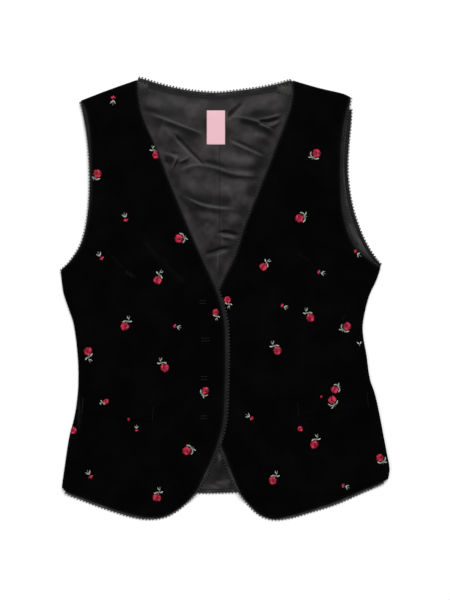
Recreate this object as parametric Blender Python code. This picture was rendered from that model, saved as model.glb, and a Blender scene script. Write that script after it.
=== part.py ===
"""Velvet waistcoat laid flat on its back with the fronts up, in metres, +Z up and +Y towards the neck.

Right and left are the wearer's: the right front lies at -X and laps over the left front.
Tables give places in millimetres on the surface, and the origin is under the garment's middle.
"""

from functools import partial

import bpy
import numpy as np
from mathutils import Vector
from mathutils.geometry import delaunay_2d_cdt

MM = 0.001

# Where the laid garment's middle lies in the tables below, in millimetres
PLAN_MIDDLE = (0.1, 2.9, 0.0)

# Cloth and trim, in millimetres
BACK_THICK = 1.6
LINING_THICK = 1.0
FRONT_THICK = 2.4
WELT_THICK = 1.4
LABEL_THICK = 1.0
BRAID_THICK = 1.2
BRAID_DROOP = 0.3
BRAID_CUT = 2.0
BRAID_BELOW_TOP = 0.8
HEM_TRIM = 4
SEAM_GAP = 0.3

# Heights above the surface that the garment lies on, in millimetres
BACK_BRAID_LEVEL = 0.9
LINING_FLOOR = BACK_THICK + SEAM_GAP
LINING_TOP = LINING_FLOOR + LINING_THICK
FRONT_FLOOR = LINING_TOP + 0.7
LAP_RISE = FRONT_THICK + SEAM_GAP

# How the front cloth comes down where it turns round a side or shoulder, in millimetres
TURNED = ("side_seam", "shoulder")
TURN_WIDE = 7.0
TURN_DROP = 2.6
TURN_FOOT = 2.8
TURN_HEEL = 4.2
TURN_LIFT = 0.2
TURN_LEAST_WALL = 1.2
BACK_INSET = 5.4

# How the front cloth comes down past the back hem, and rises on to the other front
HEM_FALL = (6.5, 20.0)
LAP_RAMP = (7.0, 26.0)
EDGE_ROLL = (2.5, 0.6)
TURN_ROWS = (1.2, TURN_FOOT, TURN_HEEL, TURN_WIDE)
HEM_ROWS = (0.5, -6.5, -11.0, -15.5, -20.0)
LAP_ROWS = (0.5, -7.0, -12.0, -19.0, -26.0)

# Spacing of the points that make the walls, in millimetres, and the parts of a curve from row to row
CURVE_PARTS = 24
EDGE_STEP = 11.0
FRONT_STEP = 19.0
LINING_STEP = 6.5
PLAIN_STEP = 34.0
BRAID_STEP = 8.0
SHARP_DEGREES = 50

# Each stretch of an outline is a smooth curve through its rows: x, y and how much braid shows there
RIGHT_FRONT = {
    "neck": [
        (-112.6, 284.2, 2.2), (-111.9, 268.0, 2.2), (-109.4, 251.0, 2.2), (-103.6, 231.0, 2.2),
        (-90.0, 200.0, 2.2), (-67.5, 143.5, 2.2), (-41.5, 81.0, 2.2), (-16.5, 26.5, 3.0),
        (-9.5, 9.0, 4.5), (-5.4, -5.0, 5.5),
    ],
    "front_edge": [(-5.4, -5.0, 5.5), (-0.6, -30.0, 5.5), (0.4, -77.8, 5.5), (-0.8, -128.0, 5.5)],
    "hem": [
        (-0.8, -128.0, 5.5), (-2.3, -150.0, 5.4), (-6.8, -171.5, 5.2), (-15.7, -197.1, 4.6),
        (-28.6, -225.3, 4.4), (-37.1, -241.9, 2.6), (-57.6, -262.9, 1.9), (-76.0, -273.2, 2.2),
        (-96.0, -276.0, 2.7), (-119.0, -272.1, 3.5), (-149.8, -262.7, 3.4),
        (-180.5, -251.6, 3.3), (-202.2, -243.0, 2.6), (-208.8, -237.0, 1.4),
    ],
    "side_seam": [
        (-208.8, -237.0), (-205.4, -212.5), (-199.0, -171.5), (-193.6, -151.0), (-189.9, -130.6),
        (-187.6, -104.0), (-188.4, -69.0), (-193.6, -28.0), (-200.3, -7.7), (-206.8, 12.8),
        (-210.3, 38.5),
    ],
    "armhole": [
        (-210.3, 38.5, 1.2), (-194.2, 55.0, 2.4), (-182.0, 75.0, 2.8), (-174.6, 104.0, 3.0),
        (-170.9, 140.8, 3.4), (-170.9, 176.0, 3.6), (-171.9, 206.0, 4.6), (-174.3, 229.0, 5.5),
        (-178.6, 248.0, 5.0), (-184.6, 257.6, 2.6),
    ],
    "shoulder": [(-184.6, 257.6), (-150.0, 271.0), (-112.6, 284.2)],
}
LEFT_FRONT = {
    "neck": [
        (86.6, 283.5, 2.6), (87.2, 266.0, 2.6), (82.6, 243.0, 2.6), (69.5, 207.0, 2.6),
        (45.0, 144.0, 2.6), (27.4, 100.0, 2.6), (13.2, 58.0, 2.6), (-3.0, 24.6, 2.6),
        (-12.5, 1.5, 4.0),
    ],
    "front_edge": [(-12.5, 1.5, 4.0), (-18.0, -29.0, 5.5), (-18.5, -77.8, 5.5), (-18.5, -122.6, 5.5)],
    "hem": [
        (-18.5, -122.6, 5.5), (-18.0, -141.0, 5.5), (-14.6, -161.3, 5.5), (-8.0, -176.0, 5.2),
        (0.6, -197.1, 4.8), (11.5, -225.3, 4.4), (21.5, -246.4, 2.4), (35.8, -263.7, 2.2),
        (47.5, -273.0, 1.9), (62.0, -277.2, 1.9), (81.7, -274.3, 3.0), (111.0, -265.7, 3.3),
        (140.4, -256.3, 3.4), (169.7, -243.7, 3.3), (199.2, -231.0, 2.6), (208.9, -226.0, 1.4),
    ],
    "side_seam": [
        (208.9, -226.0), (210.6, -213.0), (206.9, -192.0), (203.0, -171.5), (198.0, -145.0),
        (192.0, -118.0), (185.4, -98.0), (180.8, -66.0), (177.3, -47.0), (176.2, -30.0),
        (180.4, -6.0), (186.2, 12.8), (191.4, 23.0), (195.6, 33.3), (198.9, 43.6),
    ],
    "armhole": [
        (198.9, 43.6, 1.2), (183.9, 53.5, 3.4), (164.2, 72.6, 4.2), (150.7, 110.1, 4.6),
        (147.4, 156.0, 4.6), (147.9, 195.0, 4.6), (151.9, 230.0, 4.6), (160.0, 262.6, 2.4),
    ],
    "shoulder": [(160.0, 262.6), (150.0, 266.8), (120.3, 273.8), (86.6, 283.5)],
}
BACK_EDGES = {
    "neck": [
        (-108.6, 281.4, 5.2), (-83.3, 273.6, 5.2), (-58.5, 267.8, 5.2), (-35.6, 264.4, 5.2),
        (-8.8, 262.9, 5.2), (16.0, 265.4, 5.2), (42.8, 269.0, 5.2), (67.6, 274.0, 5.2),
        (82.5, 278.2, 5.2),
    ],
    "left_armhole": [
        (157.7, 250.0, 5.2), (156.9, 232.0, 5.2), (153.6, 195.0, 5.2), (152.9, 164.0, 5.2),
        (158.4, 124.0, 5.2), (170.0, 88.0, 5.2), (181.0, 66.0, 5.2), (190.5, 52.0, 5.2),
    ],
    "hem": [
        (203.0, -217.0, 5.2), (150.0, -228.0, 5.2), (96.3, -234.5, 5.2), (-8.6, -239.6, 5.2),
        (-60.0, -239.2, 5.2), (-120.0, -237.0, 5.2), (-202.0, -229.5, 5.2),
    ],
    "right_armhole": [
        (-200.0, 46.5, 2.5), (-189.6, 57.0, 3.6), (-178.6, 77.0, 4.0), (-171.8, 104.0, 4.2),
        (-169.2, 132.2, 4.2), (-169.6, 162.9, 4.2), (-172.2, 193.6, 4.2), (-176.0, 224.3, 4.2),
        (-180.4, 247.0, 4.2),
    ],
}

# Welt corners: side top, front top, front bottom, side bottom
WELTS = {
    "right_welt": [(-182.7, -122.1), (-89.6, -134.0), (-91.3, -153.6), (-184.1, -142.5)],
    "left_welt": [(183.0, -113.9), (90.9, -128.4), (92.5, -148.0), (184.6, -134.0)],
}
LABEL_MIDDLE = (-11.6, 223.0)
LABEL_SIZE = (23.4, 43.6)

# Folds of the lining: three points along each, then its rise (a hollow is negative) and half width
LINING_FOLDS = [
    # x0, y0, x1, y1, x2, y2, rise, wide
    (-100.8, 239.0, -57.3, 224.3, -24.0, 211.5, 1.7, 5.0),
    (2.6, 205.4, 29.8, 192.3, 56.6, 182.8, 1.7, 5.0),
    (-62.4, 208.4, -48.3, 194.1, -28.6, 175.7, -1.5, 4.0),
    (-81.9, 186.9, -62.4, 181.8, -46.0, 184.6, 1.6, 4.5),
    (-68.5, 165.4, -57.3, 178.2, -46.0, 182.8, 1.2, 4.5),
    (-64.4, 169.0, -26.6, 171.6, 7.2, 162.4, 1.9, 5.5),
    (7.2, 162.4, 27.2, 159.3, 47.7, 157.2, 1.5, 5.5),
    (1.6, 231.0, 14.9, 244.3, 24.1, 252.5, -1.3, 4.5),
    (17.0, 232.0, 44.6, 242.2, 63.0, 253.5, -1.4, 5.0),
    (18.0, 232.0, 45.1, 223.7, 68.2, 209.5, 1.7, 4.5),
    (40.5, 226.9, 54.8, 232.0, 70.2, 236.1, 1.2, 4.0),
    (-65.6, 141.1, -31.7, 121.9, 6.2, 115.5, 1.8, 6.5),
    (-5.7, 86.1, 8.0, 84.8, 22.1, 86.1, -1.2, 4.0),
    (-5.7, 84.8, 7.6, 76.0, 17.6, 76.0, 1.2, 4.5),
    (-26.7, 58.3, -12.5, 61.1, 6.6, 66.0, -1.4, 4.0),
]
LINING_BILLOW = 2.0
FOLD_FADE = (6.0, 18.0)
LINING_EDGE_FADE = (2.0, 14.0)
LABEL_CALM = (2.0, 12.0)

# Soft fullness of the fronts: middle, rise and spread
FULLNESS = [
    # x, y, rise, spread_x, spread_y
    (-112.0, 22.0, 3.2, 38.0, 46.0),
    (92.0, 28.0, 3.2, 38.0, 46.0),
    (-125.0, 165.0, 1.2, 30.0, 50.0),
    (112.0, 165.0, 1.2, 30.0, 50.0),
    (-120.0, -92.0, 1.3, 45.0, 24.0),
    (110.0, -84.0, 1.3, 45.0, 24.0),
    (-130.0, -212.0, 1.6, 26.0, 34.0),
    (-70.0, -200.0, 1.2, 20.0, 40.0),
    (120.0, -205.0, 1.6, 28.0, 34.0),
    (60.0, -205.0, 1.2, 20.0, 40.0),
]
FULLNESS_FADE = (24.0, 50.0)
SIDE_FADE = (8.0, 30.0)

COLOURS = {
    # base colour and roughness
    "velvet": ((0.004, 0.004, 0.005, 1.0), 0.95),
    "satin": ((0.055, 0.052, 0.054, 1.0), 0.38),
    "braid": ((0.035, 0.036, 0.036, 1.0), 0.8),
    "label": ((0.88, 0.66, 0.70, 1.0), 0.6),
}


def clear_scene():
    for old in list(bpy.data.objects):
        bpy.data.objects.remove(old)


def material(name):
    found = bpy.data.materials.get(name)
    if found:
        return found
    colour, rough = COLOURS[name]
    made = bpy.data.materials.new(name)
    made.use_nodes = True
    shader = made.node_tree.nodes["Principled BSDF"]
    shader.inputs["Base Color"].default_value = colour
    shader.inputs["Roughness"].default_value = rough
    shader.inputs["Metallic"].default_value = 0.0
    return made


def smooth_step(low, high, value):
    share = np.clip((value - low) / (high - low), 0.0, 1.0)
    return share * share * (3.0 - 2.0 * share)


def smooth_path(rows, step, from_ends=()):
    """Points at about the given step on a smooth curve through the rows, both ends included."""
    rows = np.array(rows, float)
    ends = np.vstack([2 * rows[0] - rows[1], rows, 2 * rows[-1] - rows[-2]])
    fine = []
    for before, start, stop, after in zip(ends[:-3], ends[1:-2], ends[2:-1], ends[3:]):
        reach = length(stop - start)
        leave = (stop - before) * reach / (reach + length(start - before))
        arrive = (after - start) * reach / (reach + length(after - stop))
        for share in np.linspace(0.0, 1.0, CURVE_PARTS, endpoint=False):
            square, cube = share**2, share**3
            fine.append(
                (2 * cube - 3 * square + 1) * start
                + (cube - 2 * square + share) * leave
                + (3 * square - 2 * cube) * stop
                + (cube - square) * arrive
            )
    fine.append(rows[-1])
    return evenly(np.array(fine), step, from_ends)


def length(vectors):
    """Length over x and y, whatever other columns there are."""
    return np.linalg.norm(np.asarray(vectors)[..., :2], axis=-1)


def evenly(line, step, from_ends=()):
    """The same line with points at about the given step, and at the given distances from its ends."""
    along = np.concatenate([[0.0], np.cumsum(length(np.diff(line, axis=0)))])
    wanted = np.linspace(0.0, along[-1], max(2, int(round(along[-1] / step)) + 1))
    extra = np.array(from_ends)
    wanted = np.unique(np.concatenate([wanted, extra, along[-1] - extra]))
    return np.column_stack([np.interp(wanted, along, column) for column in line.T])


def seam_line(edges, name, step, from_ends=()):
    """One stretch of an outline, as x and y only."""
    return smooth_path(edges[name], step, from_ends)[:, :2]


def joined(paths):
    """Paths that follow on from each other, as one line."""
    return np.vstack([paths[0]] + [path[1:] for path in paths[1:]])


def side_normals(line):
    """Unit normals on the left of a line, looking along it."""
    along = np.gradient(line, axis=0)
    along /= np.linalg.norm(along, axis=1)[:, None]
    return np.column_stack([-along[:, 1], along[:, 0]])


def distance_to(line, points):
    """How far each point lies from an open line."""
    starts, spans = line[:-1], np.diff(line, axis=0)
    lengths = np.maximum((spans**2).sum(1), 1e-9)
    away = points[:, None, :] - starts[None]
    share = np.clip((away * spans[None]).sum(2) / lengths, 0.0, 1.0)
    return np.linalg.norm(away - share[..., None] * spans[None], axis=2).min(1)


def inside(loop, points):
    """Whether each point lies in a closed loop."""
    found = np.zeros(len(points), bool)
    for start, stop in zip(loop, np.roll(loop, -1, axis=0)):
        crosses = (start[1] > points[:, 1]) != (stop[1] > points[:, 1])
        rise = np.where(stop[1] == start[1], 1e-9, stop[1] - start[1])
        at = start[0] + (points[:, 1] - start[1]) * (stop[0] - start[0]) / rise
        found ^= crosses & (points[:, 0] < at)
    return found


def outside_distance(loop, points):
    """Distance from a closed loop, negative inside it."""
    away = distance_to(np.vstack([loop, loop[:1]]), points)
    return np.where(inside(loop, points), -away, away)


def outline_of(edges):
    """One closed loop through all the stretches of a front, close-set where it meets a turned edge."""
    return joined([
        seam_line(edges, name, EDGE_STEP, () if name in TURNED else TURN_ROWS[1:]) for name in edges
    ])[:-1]


def turned_edges(edges):
    """The side seam and shoulder, where the cloth turns round the back."""
    return [seam_line(edges, name, EDGE_STEP) for name in TURNED]


def inset_line(line, depth, loop):
    """A stretch of a loop's edge moved into the loop by depth, or out of it if depth is negative."""
    normals = side_normals(line)
    middle = len(line) // 2
    if not inside(loop, (line[middle] + normals[middle])[None])[0]:
        normals = -normals
    return line + depth * normals


def grid_points(loop, step, clear):
    """Points of a triangular grid inside a loop, clear of its edge."""
    low, high = loop.min(0), loop.max(0)
    rise = step * np.sqrt(3) / 2
    points = []
    for row, y in enumerate(np.arange(low[1], high[1], rise)):
        shift = 0.5 * step * (row % 2)
        points += [(x + shift, y) for x in np.arange(low[0], high[0], step)]
    points = np.array(points)
    return points[outside_distance(loop, points) < -clear]


def spaced_out(kept, offered, gap):
    """The offered points that lie at least gap from the kept ones."""
    near = np.linalg.norm(offered[:, None, :] - kept[None], axis=2).min(1)
    return offered[near >= gap]


def mesh_object(name, points, faces, finish, smooth=True):
    mesh = bpy.data.meshes.new(name)
    mesh.from_pydata(((points - PLAN_MIDDLE) * MM).tolist(), [], faces)
    mesh.update()
    if smooth:
        mesh.shade_smooth()
        mesh.set_sharp_from_angle(angle=np.radians(SHARP_DEGREES))
    mesh.materials.append(material(finish))
    made = bpy.data.objects.new(name, mesh)
    bpy.context.scene.collection.objects.link(made)
    return made


def cloth_wall(name, loop, inner, floor, top, finish):
    """A closed wall of cloth over a loop: floor and top give its heights at any points."""
    across = np.roll(loop, -1, axis=0)
    if (loop[:, 0] * across[:, 1] - loop[:, 1] * across[:, 0]).sum() < 0:
        loop = loop[::-1]
    flat = np.vstack([loop, inner])
    found = delaunay_2d_cdt(
        [Vector(point) for point in flat], [], [list(range(len(loop)))], 1, 1e-6
    )
    flat = np.array([tuple(point) for point in found[0]])
    triangles = [tuple(face) for face in found[2]]
    count = len(flat)
    lower = np.column_stack([flat, floor(flat)])
    upper = np.column_stack([flat, top(flat)])
    faces = list(triangles)
    faces += [tuple(count + corner for corner in reversed(face)) for face in triangles]
    used = {(face[k], face[(k + 1) % 3]) for face in triangles for k in range(3)}
    for start, stop in used:
        if (stop, start) not in used:
            faces.append((stop, start, start + count, stop + count))
    return mesh_object(name, np.vstack([upper, lower]), faces, finish)


def braid_strip(name, edge, outward, height, droop):
    """Narrow braid sewn along an edge whose third column says how much of it shows."""
    edge = evenly(edge, BRAID_STEP)
    line = edge[:, :2]
    normals = side_normals(line) * outward
    levels = height(line)
    reaches = (np.full(len(line), SEAM_GAP), SEAM_GAP + edge[:, 2])
    ring = []
    for reach, drop, side in (
        (reaches[0], 0.0, -0.5),
        (reaches[1], droop, -0.5),
        (reaches[1], droop, 0.5),
        (reaches[0], 0.0, 0.5),
    ):
        level = levels - drop + side * BRAID_THICK
        ring.append(np.column_stack([line + reach[:, None] * normals, level]))
    points = np.stack(ring, axis=1).reshape(-1, 3)
    faces = [(3, 2, 1, 0)]
    for k in range(len(line) - 1):
        for corner in range(4):
            beside = (corner + 1) % 4
            faces.append((4 * k + corner, 4 * k + beside, 4 * k + 4 + beside, 4 * k + 4 + corner))
    faces.append(tuple(len(points) - 4 + corner for corner in range(4)))
    if outward < 0:
        faces = [tuple(reversed(face)) for face in faces]
    return mesh_object(name, points, faces, "braid", smooth=False)


def back_outline():
    """The back and its lining end a little inside the fronts, which turn round them at the seams."""
    neck, left_armhole, hem, right_armhole = [
        seam_line(BACK_EDGES, name, EDGE_STEP) for name in BACK_EDGES
    ]
    seams = [
        inset_line(line, BACK_INSET, loop)
        for edges, loop in ((LEFT_FRONT, LEFT_LOOP), (RIGHT_FRONT, RIGHT_LOOP))
        for line in turned_edges(edges)
    ]
    left_side, left_shoulder, right_side, right_shoulder = seams
    return np.vstack([
        neck, left_shoulder[::-1], left_armhole, left_side[::-1][1:-1],
        hem, right_side[1:-1], right_armhole, right_shoulder,
    ])


def lining_folds(points):
    """Rise of the lining's folds and hollows, with their ends faded."""
    rise = np.zeros(len(points))
    for x0, y0, x1, y1, x2, y2, height, wide in LINING_FOLDS:
        line = smooth_path([(x0, y0), (x1, y1), (x2, y2)], wide)
        rise += height * np.exp(-((distance_to(line, points) / wide) ** 2))
    return rise


def lining_rise(points):
    """The lining billows between the fronts and lies flat beneath them and beneath the label."""
    open_gap = np.minimum(
        outside_distance(RIGHT_LOOP, points), outside_distance(LEFT_LOOP, points)
    )
    edge = distance_to(np.vstack([BACK_LOOP, BACK_LOOP[:1]]), points)
    shown = smooth_step(*FOLD_FADE, open_gap) * smooth_step(*LINING_EDGE_FADE, edge)
    reach = np.abs(points - LABEL_MIDDLE) - np.array(LABEL_SIZE) / 2
    label_away = np.linalg.norm(np.maximum(reach, 0.0), axis=1)
    calm = smooth_step(*LABEL_CALM, label_away)
    return shown * (LINING_BILLOW + calm * lining_folds(points))


def lining_floor(points):
    return LINING_FLOOR + lining_rise(points)


def lining_top(points):
    return lining_floor(points) + LINING_THICK


def turned_distance(points, edges):
    return np.min([distance_to(line, points) for line in turned_edges(edges)], axis=0)


def fullness(points, edges):
    """Soft rises of a front, gone at the lap and at the turned edges."""
    rise = np.zeros(len(points))
    for x, y, height, spread_x, spread_y in FULLNESS:
        away = ((points[:, 0] - x) / spread_x) ** 2 + ((points[:, 1] - y) / spread_y) ** 2
        rise += height * np.exp(-away)
    lap = distance_to(seam_line(edges, "front_edge", EDGE_STEP), points)
    sides = turned_distance(points, edges)
    return rise * smooth_step(*FULLNESS_FADE, lap) * smooth_step(*SIDE_FADE, sides)


def front_rest(points, edges):
    """Where a front's underside lies, before its turned edges are brought down."""
    hem = seam_line(BACK_EDGES, "hem", EDGE_STEP)[::-1]
    hem_height = np.interp(points[:, 0], hem[:, 0], hem[:, 1])
    past_hem = smooth_step(*HEM_FALL, hem_height - points[:, 1])
    rest = FRONT_FLOOR * (1.0 - past_hem)
    if edges is RIGHT_FRONT:
        over = 1.0 - smooth_step(*LAP_RAMP, outside_distance(LEFT_LOOP, points))
        rest = rest + LAP_RISE * over
    return rest + fullness(points, edges)


def front_floor(points, edges):
    """The underside, stepped down to the surface inside the turned edges."""
    kept = np.clip((turned_distance(points, edges) - TURN_FOOT) / (TURN_HEEL - TURN_FOOT), 0.0, 1.0)
    return TURN_LIFT + (front_rest(points, edges) - TURN_LIFT) * kept


def front_top(points, edges):
    """The outside, rounded down at the turned edges and rolled a little at the cut ones."""
    share = np.clip(1.0 - turned_distance(points, edges) / TURN_WIDE, 0.0, 1.0)
    turned = TURN_DROP * (1.0 - np.sqrt(1.0 - share**2))
    loop = RIGHT_LOOP if edges is RIGHT_FRONT else LEFT_LOOP
    roll_wide, roll_drop = EDGE_ROLL
    edge = -outside_distance(loop, points)
    rolled = roll_drop * np.clip(1.0 - edge / roll_wide, 0.0, 1.0) ** 2
    top = front_rest(points, edges) + FRONT_THICK
    return np.maximum(top - np.maximum(turned, rolled), TURN_LIFT + TURN_LEAST_WALL)


def bend_rows(edges, loop):
    """Places where a front's cloth bends: its turned and cut edges, the back's hem and the lap."""
    rows = [(line, TURN_ROWS, loop) for line in turned_edges(edges)]
    for part in ("neck", "front_edge", "hem", "armhole"):
        rows.append((seam_line(edges, part, EDGE_STEP), (EDGE_ROLL[0],), loop))
    rows.append((seam_line(BACK_EDGES, "hem", EDGE_STEP), HEM_ROWS, BACK_LOOP))
    if edges is RIGHT_FRONT:
        for part in ("neck", "front_edge", "hem"):
            rows.append((seam_line(LEFT_FRONT, part, EDGE_STEP), LAP_ROWS, LEFT_LOOP))
    places = np.vstack([
        inset_line(line, depth, beside) for line, depths, beside in rows for depth in depths
    ])
    places = places[outside_distance(loop, places) < -SEAM_GAP * 3]
    chosen = places[:1]
    for place in places[1:]:
        if length(chosen - place).min() > SEAM_GAP * 4:
            chosen = np.vstack([chosen, place])
    return chosen


def build_front(name, edges, loop):
    bends = bend_rows(edges, loop)
    field = spaced_out(bends, grid_points(loop, FRONT_STEP, EDGE_STEP), FRONT_STEP / 3)
    floor = partial(front_floor, edges=edges)
    top = partial(front_top, edges=edges)
    cloth_wall(name, loop, np.vstack([bends, field]), floor, top, "velvet")


def level_at(height):
    """A flat surface at one height."""
    def level(points):
        return np.full(len(points), height)
    return level


def raised(surface, rise):
    """The same surface, moved up."""
    def moved(points):
        return surface(points) + rise
    return moved


def corner_loop(corners, step):
    """A straight-sided loop with its sides cut into steps."""
    sides = zip(corners, np.roll(corners, -1, axis=0))
    return joined([evenly(np.array(side), step) for side in sides])[:-1]


def build_back():
    inner = grid_points(BACK_LOOP, PLAIN_STEP, PLAIN_STEP / 2)
    cloth_wall("back", BACK_LOOP, inner, level_at(0.0), level_at(BACK_THICK), "velvet")


def build_lining():
    """Fine where the lining shows between the fronts, plain beneath them."""
    fine = grid_points(BACK_LOOP, LINING_STEP, LINING_STEP / 2)
    gap = np.minimum(outside_distance(RIGHT_LOOP, fine), outside_distance(LEFT_LOOP, fine))
    fine = fine[gap > FOLD_FADE[0] - LINING_STEP / 2]
    plain = spaced_out(fine, grid_points(BACK_LOOP, PLAIN_STEP, EDGE_STEP), EDGE_STEP)
    inner = np.vstack([fine, plain])
    cloth_wall(
        "back_lining", BACK_LOOP, inner, lining_floor, lining_top, "satin"
    )


def build_welt(name, edges):
    """A welt pocket's strip, made from the front's own points, moved out."""
    loop = corner_loop(np.array(WELTS[name]), EDGE_STEP)
    floor = raised(partial(front_top, edges=edges), SEAM_GAP)
    inner = grid_points(loop, EDGE_STEP, EDGE_STEP / 4)
    cloth_wall(name, loop, inner, floor, raised(floor, WELT_THICK), "velvet")


def build_label():
    half = np.array(LABEL_SIZE) / 2
    corners = np.array([(-1, -1), (1, -1), (1, 1), (-1, 1)]) * half + LABEL_MIDDLE
    loop = corner_loop(corners, LINING_STEP)
    floor = raised(lining_top, SEAM_GAP)
    inner = grid_points(loop, LINING_STEP, LINING_STEP / 3)
    cloth_wall("label", loop, inner, floor, raised(floor, LABEL_THICK), "label")


def braid_edge(edges, names):
    """Closely spaced places along an edge, with how much braid shows."""
    return joined([smooth_path(edges[name], BRAID_CUT) for name in names])


def build_braids():
    for side, edges, outward in (("right", RIGHT_FRONT, 1), ("left", LEFT_FRONT, -1)):
        height = raised(partial(front_top, edges=edges), -BRAID_BELOW_TOP)
        border = braid_edge(edges, ("neck", "front_edge", "hem"))
        braid_strip(f"{side}_front_braid", border[1:-HEM_TRIM], outward, height, BRAID_DROOP)
        armhole = braid_edge(edges, ("armhole",))
        braid_strip(f"{side}_front_armhole_braid", armhole[1:-1], outward, height, BRAID_DROOP)
    level = level_at(BACK_BRAID_LEVEL)
    for name, part in (
        ("back_neck_braid", "neck"),
        ("back_hem_braid", "hem"),
        ("left_back_armhole_braid", "left_armhole"),
        ("right_back_armhole_braid", "right_armhole"),
    ):
        braid_strip(name, braid_edge(BACK_EDGES, (part,))[2:-2], 1, level, 0.0)


RIGHT_LOOP = outline_of(RIGHT_FRONT)
LEFT_LOOP = outline_of(LEFT_FRONT)
BACK_LOOP = back_outline()

clear_scene()
build_back()
build_lining()
build_front("right_front", RIGHT_FRONT, RIGHT_LOOP)
build_front("left_front", LEFT_FRONT, LEFT_LOOP)
build_welt("right_welt", RIGHT_FRONT)
build_welt("left_welt", LEFT_FRONT)
build_braids()
build_label()
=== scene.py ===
import bpy
import numpy as np
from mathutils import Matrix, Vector
from mathutils.geometry import delaunay_2d_cdt
from mathutils.kdtree import KDTree


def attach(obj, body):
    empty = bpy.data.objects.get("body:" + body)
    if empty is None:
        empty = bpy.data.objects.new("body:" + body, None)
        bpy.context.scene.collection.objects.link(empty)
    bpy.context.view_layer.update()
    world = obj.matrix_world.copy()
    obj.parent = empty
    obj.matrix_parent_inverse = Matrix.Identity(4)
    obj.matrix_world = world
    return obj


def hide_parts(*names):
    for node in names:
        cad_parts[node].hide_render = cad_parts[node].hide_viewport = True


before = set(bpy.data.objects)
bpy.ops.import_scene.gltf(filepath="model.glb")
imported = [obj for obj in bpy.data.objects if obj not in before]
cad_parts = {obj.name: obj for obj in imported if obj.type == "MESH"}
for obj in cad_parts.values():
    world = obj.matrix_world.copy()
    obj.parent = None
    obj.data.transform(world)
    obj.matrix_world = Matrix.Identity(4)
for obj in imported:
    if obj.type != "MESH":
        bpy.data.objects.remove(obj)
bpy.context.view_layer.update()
mm = 0.001
planMiddle = np.array([0.1, 2.9, 0.0])  # the laid garment's middle, which is the frame's origin

# Outlines
# Each stretch is a smooth curve through its rows: x, y and how much braid shows there
rightEdges = {
    "neck": [
        (-112.6, 284.2, 2.2), (-111.9, 268, 2.2), (-109.4, 251, 2.2), (-103.6, 231, 2.2),
        (-90, 200, 2.2), (-67.5, 143.5, 2.2), (-41.5, 81, 2.2), (-16.5, 26.5, 3),
        (-9.5, 9, 4.5), (-5.4, -5, 5.5),
    ],
    "frontEdge": [(-5.4, -5, 5.5), (-0.6, -30, 5.5), (0.4, -77.8, 5.5), (-0.8, -128, 5.5)],
    "hem": [
        (-0.8, -128, 5.5), (-2.3, -150, 5.4), (-6.8, -171.5, 5.2), (-15.7, -197.1, 4.6),
        (-28.6, -225.3, 4.4), (-37.1, -241.9, 2.6), (-57.6, -262.9, 1.9), (-76, -273.2, 2.2),
        (-96, -276, 2.7), (-119, -272.1, 3.5), (-149.8, -262.7, 3.4),
        (-180.5, -251.6, 3.3), (-202.2, -243, 2.6), (-208.8, -237, 1.4),
    ],
    "sideSeam": [
        (-208.8, -237), (-205.4, -212.5), (-199, -171.5), (-193.6, -151), (-189.9, -130.6),
        (-187.6, -104), (-188.4, -69), (-193.6, -28), (-200.3, -7.7), (-206.8, 12.8),
        (-210.3, 38.5),
    ],
    "armhole": [
        (-210.3, 38.5, 1.2), (-194.2, 55, 2.4), (-182, 75, 2.8), (-174.6, 104, 3),
        (-170.9, 140.8, 3.4), (-170.9, 176, 3.6), (-171.9, 206, 4.6), (-174.3, 229, 5.5),
        (-178.6, 248, 5), (-184.6, 257.6, 2.6),
    ],
    "shoulder": [(-184.6, 257.6), (-150, 271), (-112.6, 284.2)],
}
leftEdges = {
    "neck": [
        (86.6, 283.5, 2.6), (87.2, 266, 2.6), (82.6, 243, 2.6), (69.5, 207, 2.6),
        (45, 144, 2.6), (27.4, 100, 2.6), (13.2, 58, 2.6), (-3, 24.6, 2.6),
        (-12.5, 1.5, 4),
    ],
    "frontEdge": [(-12.5, 1.5, 4), (-18, -29, 5.5), (-18.5, -77.8, 5.5), (-18.5, -122.6, 5.5)],
    "hem": [
        (-18.5, -122.6, 5.5), (-18, -141, 5.5), (-14.6, -161.3, 5.5), (-8, -176, 5.2),
        (0.6, -197.1, 4.8), (11.5, -225.3, 4.4), (21.5, -246.4, 2.4), (35.8, -263.7, 2.2),
        (47.5, -273, 1.9), (62, -277.2, 1.9), (81.7, -274.3, 3), (111, -265.7, 3.3),
        (140.4, -256.3, 3.4), (169.7, -243.7, 3.3), (199.2, -231, 2.6), (208.9, -226, 1.4),
    ],
    "sideSeam": [
        (208.9, -226), (210.6, -213), (206.9, -192), (203, -171.5), (198, -145),
        (192, -118), (185.4, -98), (180.8, -66), (177.3, -47), (176.2, -30),
        (180.4, -6), (186.2, 12.8), (191.4, 23), (195.6, 33.3), (198.9, 43.6),
    ],
    "armhole": [
        (198.9, 43.6, 1.2), (183.9, 53.5, 3.4), (164.2, 72.6, 4.2), (150.7, 110.1, 4.6),
        (147.4, 156, 4.6), (147.9, 195, 4.6), (151.9, 230, 4.6), (160, 262.6, 2.4),
    ],
    "shoulder": [(160, 262.6), (150, 266.8), (120.3, 273.8), (86.6, 283.5)],
}
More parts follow.
